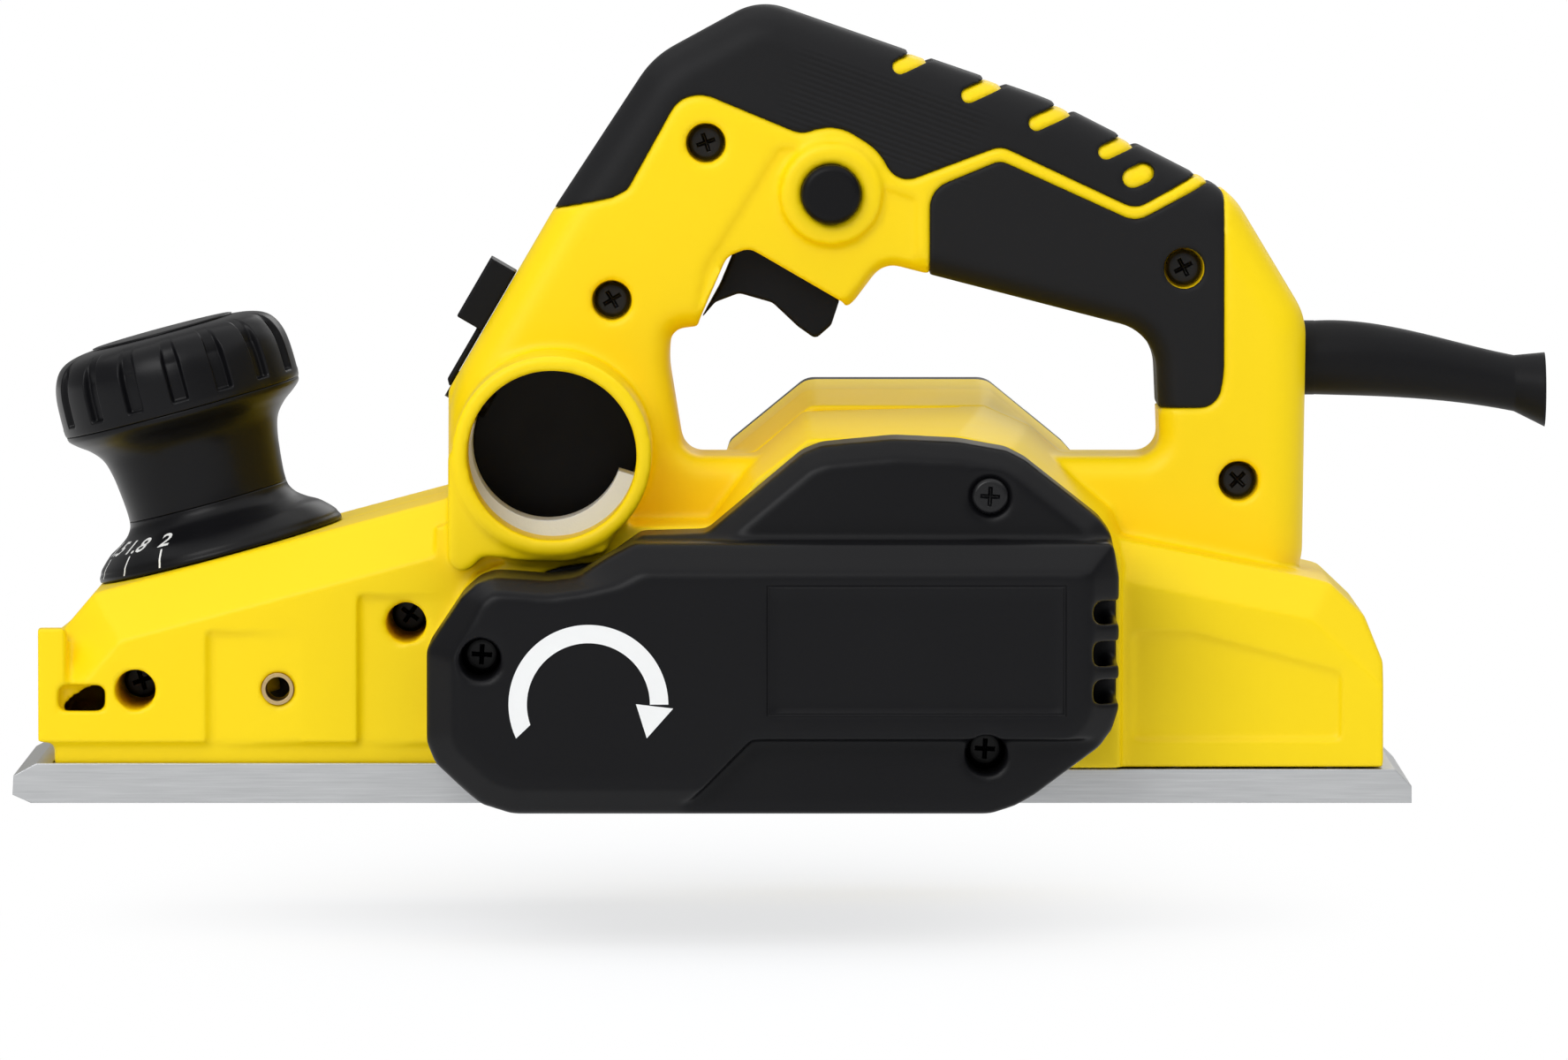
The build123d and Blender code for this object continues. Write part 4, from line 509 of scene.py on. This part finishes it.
tail_notch = (z + (x * -0.95)) > 7.1
shaft = arc * ((z > 0.0) + (x < 0.0) * (z > -7.6) * tail_notch).math("MINIMUM", 1.0)
head = beyond(9.7, 0.1, 11.9, -6.9) * beyond(11.9, -6.9, 17.3, -0.8) * beyond(17.3, -0.8, 9.7, 0.1)
arrow = shaft.math("MAXIMUM", head) * (y < printed_face)
cover.feed(Base_Color=cover.blend(arrow, cover.tone, (0.86, 0.86, 0.85)), Roughness=arrow * 0.15 + 0.36)
# the thin step round the bare label panel
panel_x = (x + (drum_x - 41.95)).math("ABSOLUTE") - 30.25
panel_z = (z + (drum_z - 34.0)).math("ABSOLUTE") - 13.1
rim = panel_x.math("MAXIMUM", panel_z).math("ABSOLUTE")
cover.relief((1.0 - rim.ramp(0.05, 0.45)) * (y < -78.0) * -1.0 + cover.grain * 0.03, 0.30)
eased("belt_cover", cover, 0.7, 12)

# ---------------------------------------------------------------- motor end cover
# The same black nylon on the other side, with slots for the fan's air, and
# the plate that carries the drum's outer bearing.
dress(black, "motor_end_cover", "drum_side_plate", "motor_fan", "switch_body")

# ---------------------------------------------------------------- dust port
# Two pale liners lie in the port, one at each side. Between them a flap, which
# a lever at the front turns, throws the chips to one side or the other. The cast
# bracket of the drum's bearings shows below the port; it is dressed in black
# nylon as painted shade, so the gap there reads dark instead of bare metal.
pale = moulded("pale_nylon", (0.80, 0.86, 0.96), (0.70, 0.75, 0.84), 0.5, 0.03, 0.4)
dress(pale, "port_liners")
# painted shade: the aluminium bearing bracket is given black nylon so the gap below the port reads dark
dress(black, "selector_flap", "bearing_bracket")
eased("selector_lever", black, 0.3, 3)

# ---------------------------------------------------------------- trigger and lock button
# Black nylon, polished by the mould a little more than the cover. The trigger
# swings on a steel pin and the button slides across the handle.
for name in ("trigger", "lock_button"):
    eased(name, black, 0.35, 5)

# ---------------------------------------------------------------- mains sleeve
# Soft black rubber round the lead where it leaves the handle, clamped between
# the two shells.
sleeve = moulded("sleeve_rubber", (0.006, 0.006, 0.007), (0.004, 0.004, 0.005), 0.50, 0.012, 0.8, 0.14)
dress(sleeve, "strain_relief")

# ---------------------------------------------------------------- screws, pins and inserts
# Steel screws with a black oxide finish outside, bright zinc inside, and
# brass inserts pressed into the nose for the fence.
oxide = moulded("black_oxide", (0.008, 0.008, 0.009), (0.005, 0.005, 0.006), 0.34, 0.02, gloss=0.3)
zinc = metal("bright_zinc", (0.64, 0.65, 0.66), (0.48, 0.49, 0.50), 0.34, (1.0, 0.1, 1.0), 0.5, 0.2)
brass = metal("turned_brass", (0.70, 0.52, 0.26), (0.52, 0.37, 0.17), 0.36, (1.0, 0.1, 1.0), 0.5, 0.2)
dress(oxide, "side_plate_screws", "end_cover_screws")
head_radius, head_high, head_round = 3.7, 2.6, 1.0
shank_radius, tip_radius, tip_length = 2.0, 1.2, 1.0
recess_reach, recess_half, recess_wall = 1.9, 0.30, 0.35


def cross_head(length):
    """Pan-head screw with a tapered cross recess; its head faces the belt side."""
    profile = [(0.0, head_high)]
    profile += [(0.12 + 0.12 * step, head_high) for step in range(20)]
    profile += [(2.5, head_high)]
    profile += [(head_radius + head_round * (sin(radians(a)) - 1.0),
                 head_high + head_round * (cos(radians(a)) - 1.0)) for a in range(15, 91, 15)]
    profile += [(head_radius, 0.0), (shank_radius, 0.0)]
    profile += [(shank_radius, tip_length - length), (tip_radius, -length)]
    segments, verts, faces = 96, [], []
    for segment in range(segments):
        turn = 2 * pi * segment / segments
        for radius, up in profile:
            x, z = radius * cos(turn), radius * sin(turn)
            arm = min(max(abs(x) - recess_reach, abs(z) - recess_half),
                      max(abs(z) - recess_reach, abs(x) - recess_half))
            hollow = min(1.0, max(0.0, 0.15 - arm) / recess_wall) if up > head_high - 0.3 else 0.0
            verts.append((x * mm, (-up + hollow * (1.5 - 0.45 * radius)) * mm, z * mm))
    count = len(profile)
    for segment in range(segments):
        following = (segment + 1) % segments
        for i in range(count - 1):
            faces.append((segment * count + i, segment * count + i + 1,
                          following * count + i + 1, following * count + i))
    faces.append(tuple(segment * count + count - 1 for segment in range(segments)))
    return form_of("cross_head", verts, faces)


def set_screws(node, rows, seed):
    """Stands for a CAD node of screws: rows of one length, each screw turned by chance."""
    bed = bmesh.new()
    for length, places in rows:
        form = cross_head(length)
        row = Growth(node + "_row", Places=None, Form=form, Finish=oxide.material, Seed=seed, Turn=pi)
        chance = row.node("FunctionNodeRandomValue", {"data_type": "FLOAT"}, _2=0.0, _3=row.inputs["Turn"],
                          Seed=row.inputs["Seed"])[1]
        spin = row.node("ShaderNodeCombineXYZ", Y=chance)[0]
        points = row.node("GeometryNodeMeshToPoints", Mesh=row.inputs["Places"])[0]
        screws = row.grow(node + "_row", points, spin, [Vector(place) * mm for place in places])
        bed.from_mesh(screws.data)
        bpy.data.objects.remove(screws)
        bpy.data.objects.remove(form)
    bmesh.ops.remove_doubles(bed, verts=bed.verts, dist=seam_gap)
    bmesh.ops.recalc_face_normals(bed, faces=bed.faces)
    mesh = bpy.data.meshes.new(node + "_set")
    bed.to_mesh(mesh)
    bed.free()
    mesh.materials.append(oxide.material)
    piece = bpy.data.objects.new(node + "_set", mesh)
    scene.collection.objects.link(piece)
    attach(piece, nodes[node]["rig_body"])
    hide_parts(node)


housing_seat = -8.05
set_screws("housing_screws", [(18.0, [(x, housing_seat, z) for x, z in (
    (-119.4, 23.4), (-63.3, 37.3), (-21.0, 103.1), (-1.4, 135.9), (98.3, 109.8), (109.7, 65.4))])], 3)
set_screws("cover_screws", [(25.9, [(57.1, -65.55, 65.0)]), (23.0, [(56.2, -56.05, 12.6)]),
                            (15.5, [(-47.1, -60.05, 32.3)])], 5)
dress(zinc, "sole_screws", "bracket_screws", "trigger_pin", "shoe_guide_pins", "depth_spindle", "blade_screws",
      "pulley_nut", "brush_springs")
dress(brass, "fence_inserts", "brush_holders", "spindle_bush")

# ---------------------------------------------------------------- cutter drum and drive
# An aluminium drum with two ground steel blades, driven by a toothed belt
# from the motor's shaft, on ball bearings.
steel = metal("ground_steel", (0.60, 0.61, 0.62), (0.46, 0.47, 0.48), 0.30, (1.0, 0.05, 1.0), 0.4, 0.2)
cast = metal("cast_aluminium", (0.58, 0.59, 0.60), (0.44, 0.45, 0.46), 0.52, (1.0, 1.0, 1.0), 0.9, 0.5, 0.04)
dress(cast, "drum_core", "drum_pulley")
dress(steel, "drum_blades", "blade_clamps", "drum_bearings", "motor_bearings", "rotor_shaft", "motor_pulley")
belt = moulded("belt_rubber", (0.028, 0.028, 0.028), (0.018, 0.018, 0.018), 0.65, 0.03, 0.3)
dress(belt, "drive_belt")

# ---------------------------------------------------------------- motor
# Stacked steel laminations, enamelled copper windings, and carbon brushes in
# brass holders.
stack = metal("laminations", (0.40, 0.40, 0.41), (0.22, 0.22, 0.23), 0.48,
              (0.05, 1.0, 0.05), 0.5, 0.2, 0.05)
copper = metal("enamelled_copper", (0.70, 0.33, 0.16), (0.40, 0.16, 0.07), 0.40,
               (1.0, 1.0, 0.1), 0.6, 0.2, 0.08)
carbon = moulded("pressed_carbon", (0.030, 0.030, 0.030), (0.016, 0.016, 0.016), 0.6, 0.02, 0.2)
dress(stack, "stator_core", "rotor_core")
dress(copper, "field_coils", "rotor_windings", "commutator")
dress(carbon, "carbon_brushes")

# ---------------------------------------------------------------- floor, light and camera
# The planer is shown just above a white sweep under broad soft boxes, from
# far off with a long lens.
floor_level, floor_reach = -27.0 * mm, 40.0
floor_mesh = bpy.data.meshes.new("floor")
corners = [(-1, -1), (1, -1), (1, 1), (-1, 1)]
floor_mesh.from_pydata([(x * floor_reach, y * floor_reach, floor_level) for x, y in corners],
                       [], [(0, 1, 2, 3)])
floor = bpy.data.objects.new("floor", floor_mesh)
scene.collection.objects.link(floor)
paper = Finish("white_paper", Base_Color=(0.90, 0.93, 0.97, 1.0), Roughness=0.95, Specular_IOR_Level=0.0)
x, y = paper.along("X"), paper.along("Y")
# painted light: white glow is mixed into the floor, at least 0.68 of it by the tool and all of it 150 mm off,
# so the cast shadow is painted faint and fades out towards the ends
painted_light_mask = (x * x + y * y * 0.2).math("SQRT").ramp(20.0, 150.0) * 0.32 + 0.68
ray = paper.node("ShaderNodeLightPath")
seen = ray["Is Camera Ray"].math("MAXIMUM", ray["Is Glossy Ray"]).math("MAXIMUM", ray["Is Transmission Ray"])
bright = paper.node("ShaderNodeEmission", None, {"Color": (1.0, 1.0, 1.0, 1.0), "Strength": 1.0})[0]
surface = paper.node("ShaderNodeMixShader", None, {0: painted_light_mask * seen, 1: paper.shader.outputs[0], 2: bright})[0]
paper.join(surface, paper.tree.nodes["Material Output"].inputs["Surface"])
floor_mesh.materials.append(paper.material)

world = bpy.data.worlds.new("studio")
scene.world = world
world.use_nodes = True
air = world.node_tree
path = air.nodes.new("ShaderNodeLightPath")
level = air.nodes.new("ShaderNodeMix")
level.inputs[2].default_value, level.inputs[3].default_value = 0.34, 1.0
air.links.new(path.outputs["Is Camera Ray"], level.inputs[0])
air.links.new(level.outputs[0], air.nodes["Background"].inputs["Strength"])
air.nodes["Background"].inputs["Color"].default_value = (1.0, 1.0, 1.0, 1.0)


def soft_box(name, place, wide, high, power):
    """A rectangular soft light turned to the middle of the tool."""
    data = bpy.data.lights.new(name, "AREA")
    data.shape, data.size, data.size_y, data.energy = "RECTANGLE", wide, high, power
    box = bpy.data.objects.new(name, data)
    box.location = place
    box.rotation_euler = (Vector((0.0, 0.0, 0.07)) - Vector(place)).to_track_quat("-Z", "Y").to_euler()
    scene.collection.objects.link(box)


soft_box("overhead_box", (0.0, -0.2, 1.2), 2.8, 2.4, 19.0)
soft_box("front_box", (-0.7, -1.6, 1.0), 1.2, 0.8, 14.0)
soft_box("rear_box", (0.6, 1.2, 0.7), 1.2, 0.6, 3.0)

camera_dip, camera_distance, seen_middle = radians(3.3), 2.68, Vector((14.9, -41.0, 56.6)) * mm
lens = bpy.data.cameras.new("long_lens")
lens.lens, lens.sensor_width, lens.clip_end = 297.6, 36.0, 100.0
camera = bpy.data.objects.new("camera", lens)
camera.location = seen_middle + Vector((0, -cos(camera_dip), sin(camera_dip))) * camera_distance
camera.rotation_euler = (pi / 2 - camera_dip, 0.0, 0.0)
scene.collection.objects.link(camera)
scene.camera = camera
scene.view_settings.view_transform = "Standard"
